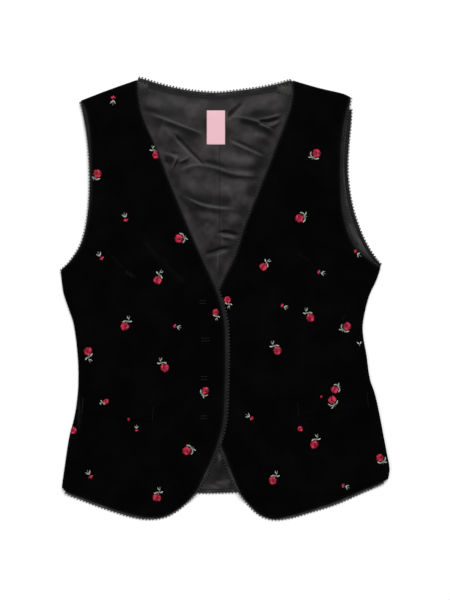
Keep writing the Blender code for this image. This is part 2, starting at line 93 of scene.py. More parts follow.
backEdges = {
    "neck": [
        (-108.6, 281.4, 5.2), (-83.3, 273.6, 5.2), (-58.5, 267.8, 5.2), (-35.6, 264.4, 5.2),
        (-8.8, 262.9, 5.2), (16, 265.4, 5.2), (42.8, 269, 5.2), (67.6, 274, 5.2),
        (82.5, 278.2, 5.2),
    ],
    "leftArmhole": [
        (157.7, 250, 5.2), (156.9, 232, 5.2), (153.6, 195, 5.2), (152.9, 164, 5.2),
        (158.4, 124, 5.2), (170, 88, 5.2), (181, 66, 5.2), (190.5, 52, 5.2),
    ],
    "hem": [
        (203, -217, 5.2), (150, -228, 5.2), (96.3, -234.5, 5.2), (-8.6, -239.6, 5.2),
        (-60, -239.2, 5.2), (-120, -237, 5.2), (-202, -229.5, 5.2),
    ],
    "rightArmhole": [
        (-200, 46.5, 2.5), (-189.6, 57, 3.6), (-178.6, 77, 4), (-171.8, 104, 4.2),
        (-169.2, 132.2, 4.2), (-169.6, 162.9, 4.2), (-172.2, 193.6, 4.2), (-176, 224.3, 4.2),
        (-180.4, 247, 4.2),
    ],
}
turnedEdges = ("sideSeam", "shoulder")
cutEdges = ("neck", "frontEdge", "hem", "armhole")
outlineStep = 3.0


def spanLengths(vectors):
    return np.linalg.norm(np.asarray(vectors)[..., :2], axis=-1)


def evenly(line, step):  # points at about the given step along the same line
    along = np.concatenate([[0.0], np.cumsum(spanLengths(np.diff(line, axis=0)))])
    wanted = np.linspace(0.0, along[-1], max(2, int(round(along[-1] / step)) + 1))
    return np.column_stack([np.interp(wanted, along, column) for column in line.T])


def smoothPath(rows, step):  # a smooth curve through the rows, both ends included
    rows = np.array(rows, float)
    ends = np.vstack([2 * rows[0] - rows[1], rows, 2 * rows[-1] - rows[-2]])
    shares = np.linspace(0.0, 1.0, 24, endpoint=False)[:, None]
    square, cube = shares**2, shares**3
    fine = []
    for before, start, stop, after in zip(ends[:-3], ends[1:-2], ends[2:-1], ends[3:]):
        reach = spanLengths(stop - start)
        leave = (stop - before) * reach / (reach + spanLengths(start - before))
        arrive = (after - start) * reach / (reach + spanLengths(after - stop))
        fine.append(
            (2 * cube - 3 * square + 1) * start + (cube - 2 * square + shares) * leave
            + (3 * square - 2 * cube) * stop + (cube - square) * arrive
        )
    return evenly(np.vstack(fine + [rows[-1:]]), step)


def seamLine(edges, name, step=outlineStep):
    return smoothPath(edges[name], step)[:, :2]


def joined(paths):
    return np.vstack([paths[0]] + [path[1:] for path in paths[1:]])


def sideNormals(line):  # unit normals on the left of a line
    along = np.gradient(line[:, :2], axis=0)
    along /= np.linalg.norm(along, axis=1)[:, None]
    return np.column_stack([-along[:, 1], along[:, 0]])


def nearestOn(line, points):  # distance, share along the line and side of it, for each point
    starts, spans = line[:-1], np.diff(line, axis=0)
    lengths = np.maximum((spans**2).sum(1), 1e-9)
    along = np.concatenate([[0.0], np.cumsum(np.sqrt(lengths))])
    distances, shares, sides = [], [], []
    for part in np.array_split(points, max(1, len(points) * len(starts) // 400000)):
        away = part[:, None, :] - starts[None]
        share = np.clip((away * spans[None]).sum(2) / lengths, 0.0, 1.0)
        gaps = away - share[..., None] * spans[None]
        square = (gaps**2).sum(2)
        best = square.argmin(1)
        rows = np.arange(len(part))
        near = gaps[rows, best]
        distances.append(np.sqrt(square[rows, best]))
        shares.append((along[best] + share[rows, best] * np.sqrt(lengths[best])) / along[-1])
        sides.append(np.sign(spans[best, 0] * near[:, 1] - spans[best, 1] * near[:, 0]))
    return np.concatenate(distances), np.concatenate(shares), np.concatenate(sides)


def distanceTo(line, points):
    return nearestOn(line, points)[0]


def inside(loop, points):
    found = np.zeros(len(points), bool)
    for start, stop in zip(loop, np.roll(loop, -1, axis=0)):
        crosses = (start[1] > points[:, 1]) != (stop[1] > points[:, 1])
        rise = stop[1] - start[1] or 1e-9
        at = start[0] + (points[:, 1] - start[1]) * (stop[0] - start[0]) / rise
        found ^= crosses & (points[:, 0] < at)
    return found


def outsideDistance(loop, points):  # negative inside the loop
    away = distanceTo(np.vstack([loop, loop[:1]]), points)
    return np.where(inside(loop, points), -away, away)


def smoothStep(low, high, value):
    share = np.clip((value - low) / (high - low), 0.0, 1.0)
    return share * share * (3.0 - 2.0 * share)


def roundShare(away, reach):  # how far a quarter-round edge has fallen, from 1 at the edge to 0
    return 1.0 - np.sqrt(1.0 - np.clip(1.0 - away / reach, 0.0, 1.0) ** 2)


def swellRise(points, rows):
    rise = np.zeros(len(points))
    for x, y, height, across, along in rows:
        rise += height * np.exp(-(((points[:, 0] - x) / across) ** 2 + ((points[:, 1] - y) / along) ** 2))
    return rise


def insetLine(line, depth, loop):
    normals = sideNormals(line)
    middle = len(line) // 2
    if not inside(loop, (line[middle] + normals[middle])[None])[0]:
        normals = -normals
    return line + depth * normals


def gridPoints(loop, step, clear):
    low, high = loop.min(0), loop.max(0)
    points = []
    for row, y in enumerate(np.arange(low[1], high[1], step * 0.866)):
        across = np.arange(low[0] + 0.5 * step * (row % 2), high[0], step)
        points.append(np.column_stack([across, np.full(len(across), y)]))
    points = np.vstack(points)
    return points[outsideDistance(loop, points) < -clear]


def planTree(points):
    tree = KDTree(len(points))
    for number, point in enumerate(points):
        tree.insert((point[0], point[1], 0.0), number)
    tree.balance()
    return tree


def apart(kept, offered, gap):  # the offered points that lie at least gap from the kept ones
    tree = planTree(kept)
    return np.array([point for point in offered if tree.find((point[0], point[1], 0.0))[2] >= gap])


def outlineOf(edges):
    return joined([seamLine(edges, name) for name in edges])[:-1]


rightLoop = outlineOf(rightEdges)
leftLoop = outlineOf(leftEdges)


def frontGap(points):  # how far outside both fronts
    return np.minimum(outsideDistance(rightLoop, points), outsideDistance(leftLoop, points))


# How the cloth lies
frontCloth = {
    "floor": 3.6,            # underside of a front where it lies on the lining
    "thick": 2.4,
    "shell": 1.7,            # the velvet and its facing
    "lapRise": 2.7,
    "lapRamp": (7.0, 26.0),
    "hemFall": (6.5, 20.0),  # where it comes down past the back's hem
    "turnWide": 7.0,         # round of the side and shoulder seams
    "turnFoot": 2.8,
    "turnHeel": 4.2,
    "turnLift": 0.2,
    "turnMiddle": 1.7,
    "cutRound": 1.5,
    "lapFade": (24.0, 50.0),
    "sideFade": (8.0, 30.0),
    "grid": 3.1,
    "clear": 0.15,           # half the gap at a seam
    "turnedRows": (0.3, 0.9, 1.8, 2.8, 3.5, 4.3, 5.6, 7.2), "cutRows": (0.25, 0.7, 1.5), "rowGap": 0.22,
    # The last two values set how far in and how strong the painted highlight along the velvet's edges is
    "fieldClear": (1.2, 1.3), "edgeHighlightReach": (0.3, 2.6), "edgeHighlightShare": 0.5,
}
fullness = [
    # x, y, rise, spread across, spread along
    (-112, 22, 3.2, 38, 46),
    (92, 28, 3.2, 38, 46),
    (-125, 165, 1.2, 30, 50),
    (112, 165, 1.2, 30, 50),
    (-120, -92, 1.3, 45, 24),
    (110, -84, 1.3, 45, 24),
    (-130, -212, 1.6, 26, 34),
    (-70, -200, 1.2, 20, 40),
    (120, -205, 1.6, 28, 34),
    (60, -205, 1.2, 20, 40),
]
# Creases: points along each, rise (negative is a trough), width on its left and on its right
frontCreases = [
    (((-151, 66.6), (-130, 48), (-113.9, 29.4)), -0.7, 3, 6),      # right bust dart
    (((-128, 39.7), (-119, 34), (-113.9, 29.4)), 0.7, 2.5, 5),
    (((-102.4, 79.4), (-73, 44.8), (-38.4, 12.8)), 0.6, 4, 7),         # crush across the chest
    (((-112.6, -20), (-114, -90), (-108, -160)), -0.6, 4, 4),  # right waist dart
    (((-188, -106), (-185.5, -138), (-187, -172)), 0.9, 3, 5),  # pucker by the seam
    (((-160, -150), (-140, -190), (-138, -232)), 0.5, 9, 6),
    (((-60, -120), (-52, -170), (-66, -230)), 0.4, 9, 7),
    (((-160, 120), (-136, 142), (-120, 186)), 0.4, 8, 6),
    (((109, 62.7), (96, 57), (89.6, 51.2)), -0.5, 5, 3),           # left bust dart
    (((150, 70), (124, 56), (100, 30)), -0.6, 5, 4),
    (((96, -20), (98, -90), (92, -160)), -0.6, 4, 4),        # left waist dart
    (((157.4, -3.8), (150, -24), (144.6, -39.7)), 0.5, 6, 4),
    (((186, -120), (180, -150), (184, -190)), 0.7, 6, 3),
    (((70, 120), (88, 150), (96, 200)), 0.4, 8, 6),
    (((140, -140), (128, -190), (140, -230)), 0.5, 9, 6),
    (((40, -150), (50, -190), (44, -240)), 0.4, 8, 7),
]


def creaseRise(points, creases):
    rise = np.zeros(len(points))
    for places, height, left, right in creases:
        line = smoothPath(places, 3.0)
        reach = 3.0 * max(left, right)
        low, high = line.min(0) - reach, line.max(0) + reach
        near = ((points > low) & (points < high)).all(1)
        if near.any():
            away, share, side = nearestOn(line, points[near])
            wide = np.where(side > 0, left, right)
            taper = smoothStep(0.0, 0.22, share) * smoothStep(0.0, 0.3, 1.0 - share)
            rise[near] += height * (0.15 + 0.85 * taper) * np.exp(-((away / wide) ** 2))
    return rise


def edgeDistance(points, edges, names):
    return np.min([distanceTo(seamLine(edges, name), points) for name in names], axis=0)


def frontRest(points, edges):  # underside level before the edges are turned and rounded
    cloth = frontCloth
    hem = seamLine(backEdges, "hem")[::-1]
    pastHem = smoothStep(*cloth["hemFall"], np.interp(points[:, 0], hem[:, 0], hem[:, 1]) - points[:, 1])
    rest = cloth["floor"] * (1.0 - pastHem)
    if edges is rightEdges:
        lapped = 1.0 - smoothStep(*cloth["lapRamp"], outsideDistance(leftLoop, points))
        rest = rest + cloth["lapRise"] * lapped
    rise = swellRise(points, fullness)
    lap = edgeDistance(points, edges, ("frontEdge",))
    sides = edgeDistance(points, edges, turnedEdges)
    rise *= smoothStep(*cloth["lapFade"], lap) * smoothStep(*cloth["sideFade"], sides)
    rise += creaseRise(points, frontCreases) * smoothStep(1.0, 12.0, sides)
    return rest + rise


def frontFaces(points, edges):  # the outside and the underside of a front's cloth
    cloth = frontCloth
    clear = cloth["clear"]
    outer = frontRest(points, edges) + cloth["thick"]
    turned = edgeDistance(points, edges, turnedEdges)
    cut = edgeDistance(points, edges, cutEdges)
    top = outer - (outer - cloth["turnMiddle"] - clear) * roundShare(turned, cloth["turnWide"])
    kept = np.clip((turned - cloth["turnFoot"]) / (cloth["turnHeel"] - cloth["turnFoot"]), 0.0, 1.0)
    under = cloth["turnLift"] + (outer - cloth["shell"] - cloth["turnLift"]) * kept
    under += (cloth["turnMiddle"] - clear - under) * roundShare(turned, cloth["turnFoot"])
    half = (top - under) / 2 - clear
    roundOff = np.minimum(half, cloth["shell"] / 2 - clear) * roundShare(cut, cloth["cutRound"])
    return top - roundOff, under + roundOff


def above(edges, lift):  # the level at the given lift above a front
    return lambda points: frontFaces(points, edges)[0] + lift


def frontMiddle(points, edges):
    outer = frontRest(points, edges) + frontCloth["thick"] - frontCloth["shell"] / 2
    turned = edgeDistance(points, edges, turnedEdges)
    return outer - (outer - frontCloth["turnMiddle"]) * roundShare(turned, frontCloth["turnWide"])


# Shader groups and materials
def newGroup(name, kind, inputs, outputs):  # a group with its first outputs and its last inputs
    group = bpy.data.node_groups.new(name, kind)
    for label, socketKind, value in inputs:
        socket = group.interface.new_socket(label, in_out="INPUT", socket_type=socketKind)
        if value is not None:
            socket.default_value = value
    for label, socketKind in outputs:
        group.interface.new_socket(label, in_out="OUTPUT", socket_type=socketKind)
    return group, group.nodes.new("NodeGroupInput").outputs, group.nodes.new("NodeGroupOutput").inputs


def feed(tree, socket, value):  # a link where the value is another socket
    if isinstance(value, bpy.types.NodeSocket):
        tree.links.new(value, socket)
    elif value is not None:
        socket.default_value = value


def noiseValue(tree, vector, scale, detail, rough=0.5):
    node = tree.nodes.new("ShaderNodeTexNoise")
    for name, value in (("Vector", vector), ("Scale", scale), ("Detail", detail), ("Roughness", rough)):
        feed(tree, node.inputs[name], value)
    return node.outputs["Fac"]


def attributeValue(tree, name):
    node = tree.nodes.new("ShaderNodeAttribute")
    node.attribute_name = name
    return node.outputs["Fac"]


def mathNode(tree, operation, first, second=None, clamp=False):
    node = tree.nodes.new("ShaderNodeMath")
    node.operation = operation
    node.use_clamp = clamp
    feed(tree, node.inputs[0], first)
    feed(tree, node.inputs[1], second)
    return node.outputs[0]


def add(tree, first, second, clamp=False):
    return mathNode(tree, "ADD", first, second, clamp)


def subtract(tree, first, second):
    return mathNode(tree, "SUBTRACT", first, second)


def multiply(tree, first, second, clamp=False):
    return mathNode(tree, "MULTIPLY", first, second, clamp)


def mixColour(tree, factor, first, second):
    node = tree.nodes.new("ShaderNodeMix")
    node.data_type = "RGBA"
    factorSocket, firstSocket, secondSocket = node.inputs[0], node.inputs[6], node.inputs[7]
    for socket, value in ((factorSocket, factor), (firstSocket, first), (secondSocket, second)):
        feed(tree, socket, value)
    return node.outputs[2]


def weaveGroup():  # over-and-under threads in the cloth's own X and Y
    group, start, end = newGroup(
        "clothWeave", "ShaderNodeTree",
        [("Vector", "NodeSocketVector", None), ("Threads per metre", "NodeSocketFloat", 2500.0),
         ("Warp share", "NodeSocketFloat", 0.5)],
        [("Height", "NodeSocketFloat"), ("Slub", "NodeSocketFloat")],
    )
    parts = group.nodes.new("ShaderNodeSeparateXYZ")
    group.links.new(start["Vector"], parts.inputs[0])
    turns = multiply(group, start["Threads per metre"], 3.14159)
    waves = []
    for axis in (0, 1):
        phase = multiply(group, parts.outputs[axis], turns)
        waves.append(mathNode(group, "ABSOLUTE", mathNode(group, "SINE", phase)))
    warp = multiply(group, waves[0], start["Warp share"])
    weft = multiply(group, waves[1], subtract(group, 1.0, start["Warp share"]))
    group.links.new(add(group, warp, weft), end["Height"])
    group.links.new(noiseValue(group, start["Vector"], 900.0, 2.0), end["Slub"])
    return group


def handledGroup():  # broad soft patches where cloth has been handled
    group, start, end = newGroup(
        "handledPatches", "ShaderNodeTree",
        [("Vector", "NodeSocketVector", None), ("Patch scale", "NodeSocketFloat", 18.0),
         ("Strength", "NodeSocketFloat", 0.5)],
        [("Mask", "NodeSocketFloat")],
    )
    patches = noiseValue(group, start["Vector"], start["Patch scale"], 3.0, 0.55)
    gain = multiply(group, start["Strength"], 4.0)
    group.links.new(multiply(group, subtract(group, patches, 0.42), gain, True), end["Mask"])
    return group


weave = weaveGroup()
handled = handledGroup()


def newMaterial(name, settings):
    made = bpy.data.materials.new(name)
    made.use_nodes = True
    tree = made.node_tree
    shader = tree.nodes["Principled BSDF"]
    for socket, value in settings.items():
        shader.inputs[socket].default_value = value
    coordinates = tree.nodes.new("ShaderNodeTexCoord")
    return made, tree, shader, coordinates.outputs["Object"]


def placeGroup(tree, group, vector, values):
    node = tree.nodes.new("ShaderNodeGroup")
    node.node_tree = group
    for name, value in {"Vector": vector, **values}.items():
        feed(tree, node.inputs[name], value)
    return node


def addBump(tree, shader, height, strength, distance):
    bump = tree.nodes.new("ShaderNodeBump")
    for name, value in (("Strength", strength), ("Distance", distance), ("Height", height)):
        feed(tree, bump.inputs[name], value)
    tree.links.new(bump.outputs[0], shader.inputs["Normal"])


# The lighter pile colour serves both the handled patches and the painted highlight along creases, crushed
# pile and edges
velvetFinish = {
    "deep": (0.0010, 0.0010, 0.0011, 1.0),
    "brushedAndHighlit": (0.0085, 0.0085, 0.0088, 1.0),
    "patchShare": 0.25,
    "napFloor": 0.3,
    "brushedRoughness": -0.12,
    "settings": {"Roughness": 0.95, "Specular IOR Level": 0.008, "Sheen Weight": 0.016,
                 "Sheen Roughness": 0.35, "Sheen Tint": (0.75, 0.75, 0.8, 1.0)},
}
# The third and fourth colours, with their gains, are painted shade in folds and painted highlight on crests
# and satin lights
satinFinish = {
    "deep": (0.008, 0.0070, 0.0072, 1.0),
    "light": (0.042, 0.0365, 0.0378, 1.0),
    "paintedShade": (0.0015, 0.0015, 0.0015, 1.0),
    "paintedHighlight": (0.115, 0.105, 0.107, 1.0),
    "paintedShadeGain": 2.4,
    "paintedHighlightGain": 0.34,
    "slubRoughness": (0.12, 0.34),
    "settings": {"Roughness": 0.38, "Specular IOR Level": 0.12, "Anisotropic": 0.2,
                 "Sheen Weight": 0.01, "Sheen Roughness": 0.5},
}
# a lighter braid colour towards the hem: painted light where the hem braid is lit
paintedHemLightColour = (0.105, 0.105, 0.102, 1.0)
braidFinish = {
    "deep": (0.004, 0.004, 0.0042, 1.0),
    "light": (0.017, 0.017, 0.0175, 1.0),
    # the loop colour is a painted highlight where the picots catch light
    "loop": (0.042, 0.042, 0.040, 1.0),
    "settings": {"Roughness": 0.6, "Specular IOR Level": 0.1, "Sheen Weight": 0.015},
}
footFinish = {
    "deep": (0.010, 0.0105, 0.010, 1.0),
    "light": (0.050, 0.051, 0.048, 1.0),
    # the loop colour is a painted highlight where the picots catch light
    "loop": (0.075, 0.075, 0.070, 1.0),
    "settings": {"Roughness": 0.5, "Specular IOR Level": 0.2, "Sheen Weight": 0.02},
}
insideFinish = {
    "deep": (0.006, 0.0062, 0.006, 1.0),
    "light": (0.036, 0.0365, 0.035, 1.0),
    "loop": (0.009, 0.009, 0.009, 1.0),
    "settings": {"Roughness": 0.6, "Specular IOR Level": 0.12, "Sheen Weight": 0.015},
}
labelFinish = {
    "deep": (0.56, 0.33, 0.38, 1.0),
    "light": (0.72, 0.44, 0.49, 1.0),
    "settings": {"Roughness": 0.6, "Specular IOR Level": 0.2, "Sheen Weight": 0.04},
}


def makeVelvet():
    finish = velvetFinish
    made, tree, shader, vector = newMaterial("velvetPile", finish["settings"])
    patches = placeGroup(tree, handled, vector, {"Patch scale": 26.0, "Strength": 0.5}).outputs["Mask"]
    nap = noiseValue(tree, vector, 1500.0, 3.0, 0.6)
    # handled patches plus the painted highlight along creases, crushed pile and the velvet's edges
    handledAndHighlit = add(tree, multiply(tree, patches, finish["patchShare"]), attributeValue(tree, "crushAndEdgeHighlight"), True)
    share = multiply(tree, handledAndHighlit, add(tree, nap, finish["napFloor"]), True)
    colour = mixColour(tree, share, finish["deep"], finish["brushedAndHighlit"])
    tree.links.new(colour, shader.inputs["Base Color"])
    rough = add(tree, multiply(tree, share, finish["brushedRoughness"]), finish["settings"]["Roughness"])
    tree.links.new(rough, shader.inputs["Roughness"])
    addBump(tree, shader, nap, 0.5, 0.0004)
    return made


def makeSatin():
    finish = satinFinish
    made, tree, shader, vector = newMaterial("liningSatin", finish["settings"])
    threads = placeGroup(tree, weave, vector, {"Threads per metre": 5200.0, "Warp share": 0.75})
    patches = placeGroup(tree, handled, vector, {"Patch scale": 34.0, "Strength": 0.75})
    colour = mixColour(tree, patches.outputs["Mask"], finish["deep"], finish["light"])
    paintedShadeLevel = attributeValue(tree, "paintedShadeLevel")
    # painted shade in the folds and painted highlight on the crests, from the lining's painted shade level
    paintedShade = multiply(tree, subtract(tree, paintedShadeLevel, 0.5), finish["paintedShadeGain"], True)
    paintedHighlight = multiply(tree, subtract(tree, 0.5, paintedShadeLevel), finish["paintedHighlightGain"], True)
    colour = mixColour(tree, paintedShade, colour, finish["paintedShade"])
    tree.links.new(mixColour(tree, paintedHighlight, colour, finish["paintedHighlight"]), shader.inputs["Base Color"])
    gain, least = finish["slubRoughness"]
    rough = add(tree, multiply(tree, threads.outputs["Slub"], gain), least)
    tree.links.new(rough, shader.inputs["Roughness"])
    addBump(tree, shader, threads.outputs["Height"], 0.08, 0.00005)
    return made


def makeBraid(name, finish):
    made, tree, shader, vector = newMaterial(name, finish["settings"])
    patches = placeGroup(tree, handled, vector, {"Patch scale": 60.0, "Strength": 0.8}).outputs["Mask"]
    fibre = noiseValue(tree, vector, 2600.0, 2.0)
    share = multiply(tree, add(tree, patches, 0.35), fibre)
    colour = mixColour(tree, share, finish["deep"], finish["light"])
    # painted light: the braid grows lighter towards the hem
    paintedHemLight = multiply(tree, attributeValue(tree, "paintedHemLight"), share)
    colour = mixColour(tree, paintedHemLight, colour, paintedHemLightColour)
    # picot loops take the finish's loop colour; in the picot braid and the feet it is a painted highlight
    loose = multiply(tree, attributeValue(tree, "loop"), fibre, True)
    tree.links.new(mixColour(tree, loose, colour, finish["loop"]), shader.inputs["Base Color"])
    addBump(tree, shader, fibre, 0.5, 0.0002)
    return made


def makeLabel():
    made, tree, shader, vector = newMaterial("labelWeave", labelFinish["settings"])
    threads = placeGroup(tree, weave, vector, {"Threads per metre": 1600.0, "Warp share": 0.4})
    height = threads.outputs["Height"]
    colour = mixColour(tree, multiply(tree, height, 1.4, True), labelFinish["deep"], labelFinish["light"])
    tree.links.new(colour, shader.inputs["Base Color"])
    addBump(tree, shader, height, 0.5, 0.0002)
    return made


def makeThread(name, dark, bright, settings):  # colour goes by each thread's own shade
    made, tree, shader, vector = newMaterial(name, settings)
    fibre = noiseValue(tree, vector, 4000.0, 2.0)
    spread = multiply(tree, subtract(tree, fibre, 0.5), 0.4)
    share = add(tree, attributeValue(tree, "shade"), spread, True)
    tree.links.new(mixColour(tree, share, dark, bright), shader.inputs["Base Color"])
    addBump(tree, shader, fibre, 0.3, 0.0001)
    return made


silkSettings = {"Roughness": 0.5, "Specular IOR Level": 0.14, "Sheen Weight": 0.02}
velvet = makeVelvet()
satin = makeSatin()
braid = makeBraid("picotBraid", braidFinish)
braidBelow = makeBraid("braidUnderside", footFinish)
braidInside = makeBraid("braidInside", insideFinish)
labelCloth = makeLabel()
roseThread = makeThread("roseThread", (0.12, 0.0010, 0.006, 1.0), (0.72, 0.040, 0.105, 1.0), silkSettings)
leafThread = makeThread("leafThread", (0.17, 0.20, 0.17, 1.0), (0.50, 0.55, 0.48, 1.0), silkSettings)
blackThread = makeThread("blackThread", (0.003, 0.003, 0.003, 1.0), (0.020, 0.020, 0.021, 1.0), silkSettings)
print("materials made")


# Meshes
def newObject(name, points, edges, faces):
    mesh = bpy.data.meshes.new(name)
    mesh.from_pydata(points, edges, faces)
    mesh.shade_smooth()
    made = bpy.data.objects.new(name, mesh)
    bpy.context.scene.collection.objects.link(made)
    return made


def placed(points):  # from millimetres on the surface to the frame
    return ((np.asarray(points) - planMiddle) * mm).tolist()


def setValues(piece, name, values, kind="FLOAT"):  # an attribute of the piece's points
    made = piece.data.attributes.new(name, kind, "POINT")
    made.data.foreach_set("value" if kind == "FLOAT" else "vector", np.asarray(values, np.float32).ravel())


def makeMesh(name, points, faces, finish):
    made = newObject(name, placed(points), [], faces)
    made.data.update()
    made.data.materials.append(finish)
    return made


def clothShell(name, loop, inner, faces, finish):  # faces gives the top and under heights
    across = np.roll(loop, -1, axis=0)
    if (loop[:, 0] * across[:, 1] - loop[:, 1] * across[:, 0]).sum() < 0:
        loop = loop[::-1]
    flat = np.vstack([loop, inner])
    found = delaunay_2d_cdt([Vector(point) for point in flat], [], [list(range(len(loop)))], 1, 1e-6)
    flat = np.array([tuple(point) for point in found[0]])
    triangles = np.array([tuple(face) for face in found[2]])
    top, under = faces(flat)
    count = len(flat)
    sides = np.vstack([triangles[:, [0, 1]], triangles[:, [1, 2]], triangles[:, [2, 0]]])
    known = {(a, b) for a, b in sides.tolist()}
    rim = [(b, a, a + count, b + count) for a, b in sides.tolist() if (b, a) not in known]
    walls = triangles.tolist() + (triangles[:, ::-1] + count).tolist() + rim
    points = np.vstack([np.column_stack([flat, top]), np.column_stack([flat, under])])
    return makeMesh(name, points, walls, finish)


def insetRows(lines, depths, loop):
    return np.vstack([insetLine(line, depth, loop) for line in lines for depth in depths])


def wellInside(loop, points, clear):
    return points[outsideDistance(loop, points) < -clear]


def edgeRows(edges, names, loop, depths):
    rows = insetRows([seamLine(edges, name) for name in names], depths, loop)
    return wellInside(loop, rows, min(depths) * 0.8)


def thinned(points, gap):  # one of each group of points that lie closer than gap
    tree = planTree(points)
    kept = np.ones(len(points), bool)
    for number, point in enumerate(points):
        if kept[number]:
            for _, other, _ in tree.find_range((point[0], point[1], 0.0), gap):
                if other > number:
                    kept[other] = False
    return points[kept]


creaseHighlightLines = [
    # points along a painted highlight on a crease or crushed pile, strength and width
    (((-128, 39.7), (-119, 34), (-113.9, 29.4)), 0.85, 1.2, 1.2),
    (((-151, 66.6), (-140, 54), (-128, 40)), 0.24, 1, 1.4),
    (((-102.4, 79.4), (-92, 64), (-80, 52)), 0.26, 1.4, 2.4),
    (((-78, 50), (-60, 33), (-46, 20)), 0.20, 1.8, 2.4),
    (((-79, 56), (-76, 51), (-72, 50)), 0.30, 0.9, 1.2),
    (((-188, -106), (-186, -138), (-187.5, -172)), 0.8, 1.2, 2.2),
    (((89.6, 62.7), (98, 60), (109, 51.2)), 0.36, 1, 1.4),
    (((157.4, -3.8), (150, -24), (144.6, -39.7)), 0.4, 0.7, 0.7),
    (((-112.6, -20), (-114, -90), (-108, -160)), 0.05, 1.2, 1.2),
    (((96, -20), (98, -90), (92, -160)), 0.05, 1.2, 1.2),
]


def makeFront(name, edges, loop):
    cloth = frontCloth
    turned = edgeRows(edges, turnedEdges, loop, cloth["turnedRows"])
    cut = edgeRows(edges, cutEdges, loop, cloth["cutRows"])
    border = thinned(np.vstack([turned, cut]), cloth["rowGap"])
    fromLoop, fromRows = cloth["fieldClear"]
    inner = np.vstack([border, apart(border, gridPoints(loop, cloth["grid"], fromLoop), fromRows)])
    made = clothShell(name, loop, inner, lambda points: frontFaces(points, edges), velvet)
    places = np.array([vertex.co[:2] for vertex in made.data.vertices]) / mm + planMiddle[:2]
    # painted highlight on the pile along the velvet's edges and along the listed creases and crushed pile
    away = edgeDistance(places, edges, turnedEdges + cutEdges)
    edge = cloth["edgeHighlightShare"] * (1.0 - smoothStep(*cloth["edgeHighlightReach"], away))
    setValues(made, "crushAndEdgeHighlight", np.maximum(creaseRise(places, creaseHighlightLines), edge))
    return made


rightFront = makeFront("right_front_velvet", rightEdges, rightLoop)
leftFront = makeFront("left_front_velvet", leftEdges, leftLoop)
print("fronts made")


# Back and lining
backCloth = {
    "thick": 1.6, "inset": 5.4, "grid": 7.0, "edgeRound": 0.8, "edgeDrop": 0.6, "rows": (0.3, 0.8),
    "rowClear": 0.25, "rowGap": 0.3, "seamRows": (-1.4, -0.5, 0.5, 1.4), "seamClear": 2.0,
    "fieldClear": (2.5, 2.4),
}
liningCloth = {
    "floor": 1.9, "thick": 1.0, "billow": 2.0, "fade": (3.0, 24.0), "edgeFade": (2.0, 30.0),
    "labelCalm": (1.0, 7.0), "seamX": -7.0, "seamDepth": 0.26, "seamWide": 1.1, "fine": 1.35, "coarse": 16.0,
    "hollowReach": 3.4, "hollowDepth": 0.34,
    # The slope and neck values set painted shade: on slopes turned from the key light, a painted shadow under
    # the neck braid and a broad painted shade below it
    "slopeShade": 2.4, "slopeRange": (-0.05, 0.3), "neckShade": (1.6, 5.0), "neckShelter": (6.0, 60.0),
    "neckShadowDepth": 0.55, "shelterShadowDepth": 0.18, "deepest": -0.6, "edgeRound": 0.9, "edgeDrop": 0.35,
    "rows": (0.25, 0.6, 1.0), "rowClear": 0.2, "rowGap": 0.2, "underFronts": 4.0,
    "fineClear": (1.6, 0.8), "coarseClear": (4.0, 5.0),
}
labelShape = {
    "middle": np.array([-11.6, 223.0]), "size": np.array([23.4, 43.6]), "thick": 0.7, "lift": 0.2,
}
liningCreases = [
    (((-104, 243), (-80, 235), (-57.3, 226.5), (-24, 213.5)), 0.85, 1.1, 7.5),
    (((2.6, 207), (29.8, 194.5), (60, 181)), 0.6, 1.1, 7.5),
    (((-64.5, 214.5), (-47, 196.5), (-26, 174.5)), -1.5, 1.4, 2.6),
    (((-70, 163), (-38, 175.4), (-11.5, 171.5), (9, 165.2), (50, 160.4)), 0.42, 0.9, 4.5),
    (((-30, 179.5), (4, 171.5), (46, 165.5)), -0.25, 6.5, 2.2),
    (((-84, 192), (-72, 188.5), (-61, 185)), 1.2, 1.2, 4.5),
    (((-61, 186), (-65, 177), (-70.5, 166)), 1.1, 1.2, 3.4),
    (((-60, 179.6), (-53, 182.4), (-46, 186.5)), 0.9, 1.2, 3.2),
    (((-80, 180), (-74, 176), (-70, 170)), -1.5, 3.4, 3.4),
    (((15.4, 237), (38.4, 232.2), (55, 223.4), (68, 213)), 1.2, 1.2, 5),
    (((38.4, 232.5), (55, 235), (75, 241)), 0.9, 1.2, 3.4),
    (((42, 229.5), (56, 230), (70, 234.5)), -1.5, 3, 2.4),
    (((57, 223.8), (64, 227.5), (73, 233.5)), 0.8, 1.2, 2.2),
    (((1.3, 233), (13, 245), (25, 257)), -1.6, 5, 1.4),
    (((-67, 144.4), (-50, 133.6), (-31, 124.6), (-7, 120.3), (12, 119)), 1.2, 1.3, 6),
    (((-27.5, 62), (-16, 64), (-6.4, 67.8), (8, 69.5)), -2.2, 1.5, 4),
    (((-7, 89.4), (5.1, 88.3), (20, 84)), -1.7, 1.5, 3.4),
    (((-5, 86), (8, 82.4), (17, 79)), 0.8, 1.2, 3),
    (((-20, 102), (-26, 92), (-22, 82)), 0.4, 4, 2),
    (((24, 128), (30, 112), (22, 92)), 0.7, 5, 2.4),
    (((-78, 226), (-84, 212), (-80, 200)), 0.7, 6, 3),
    (((34, 214), (50, 209), (60, 199)), 0.6, 4, 7),
]
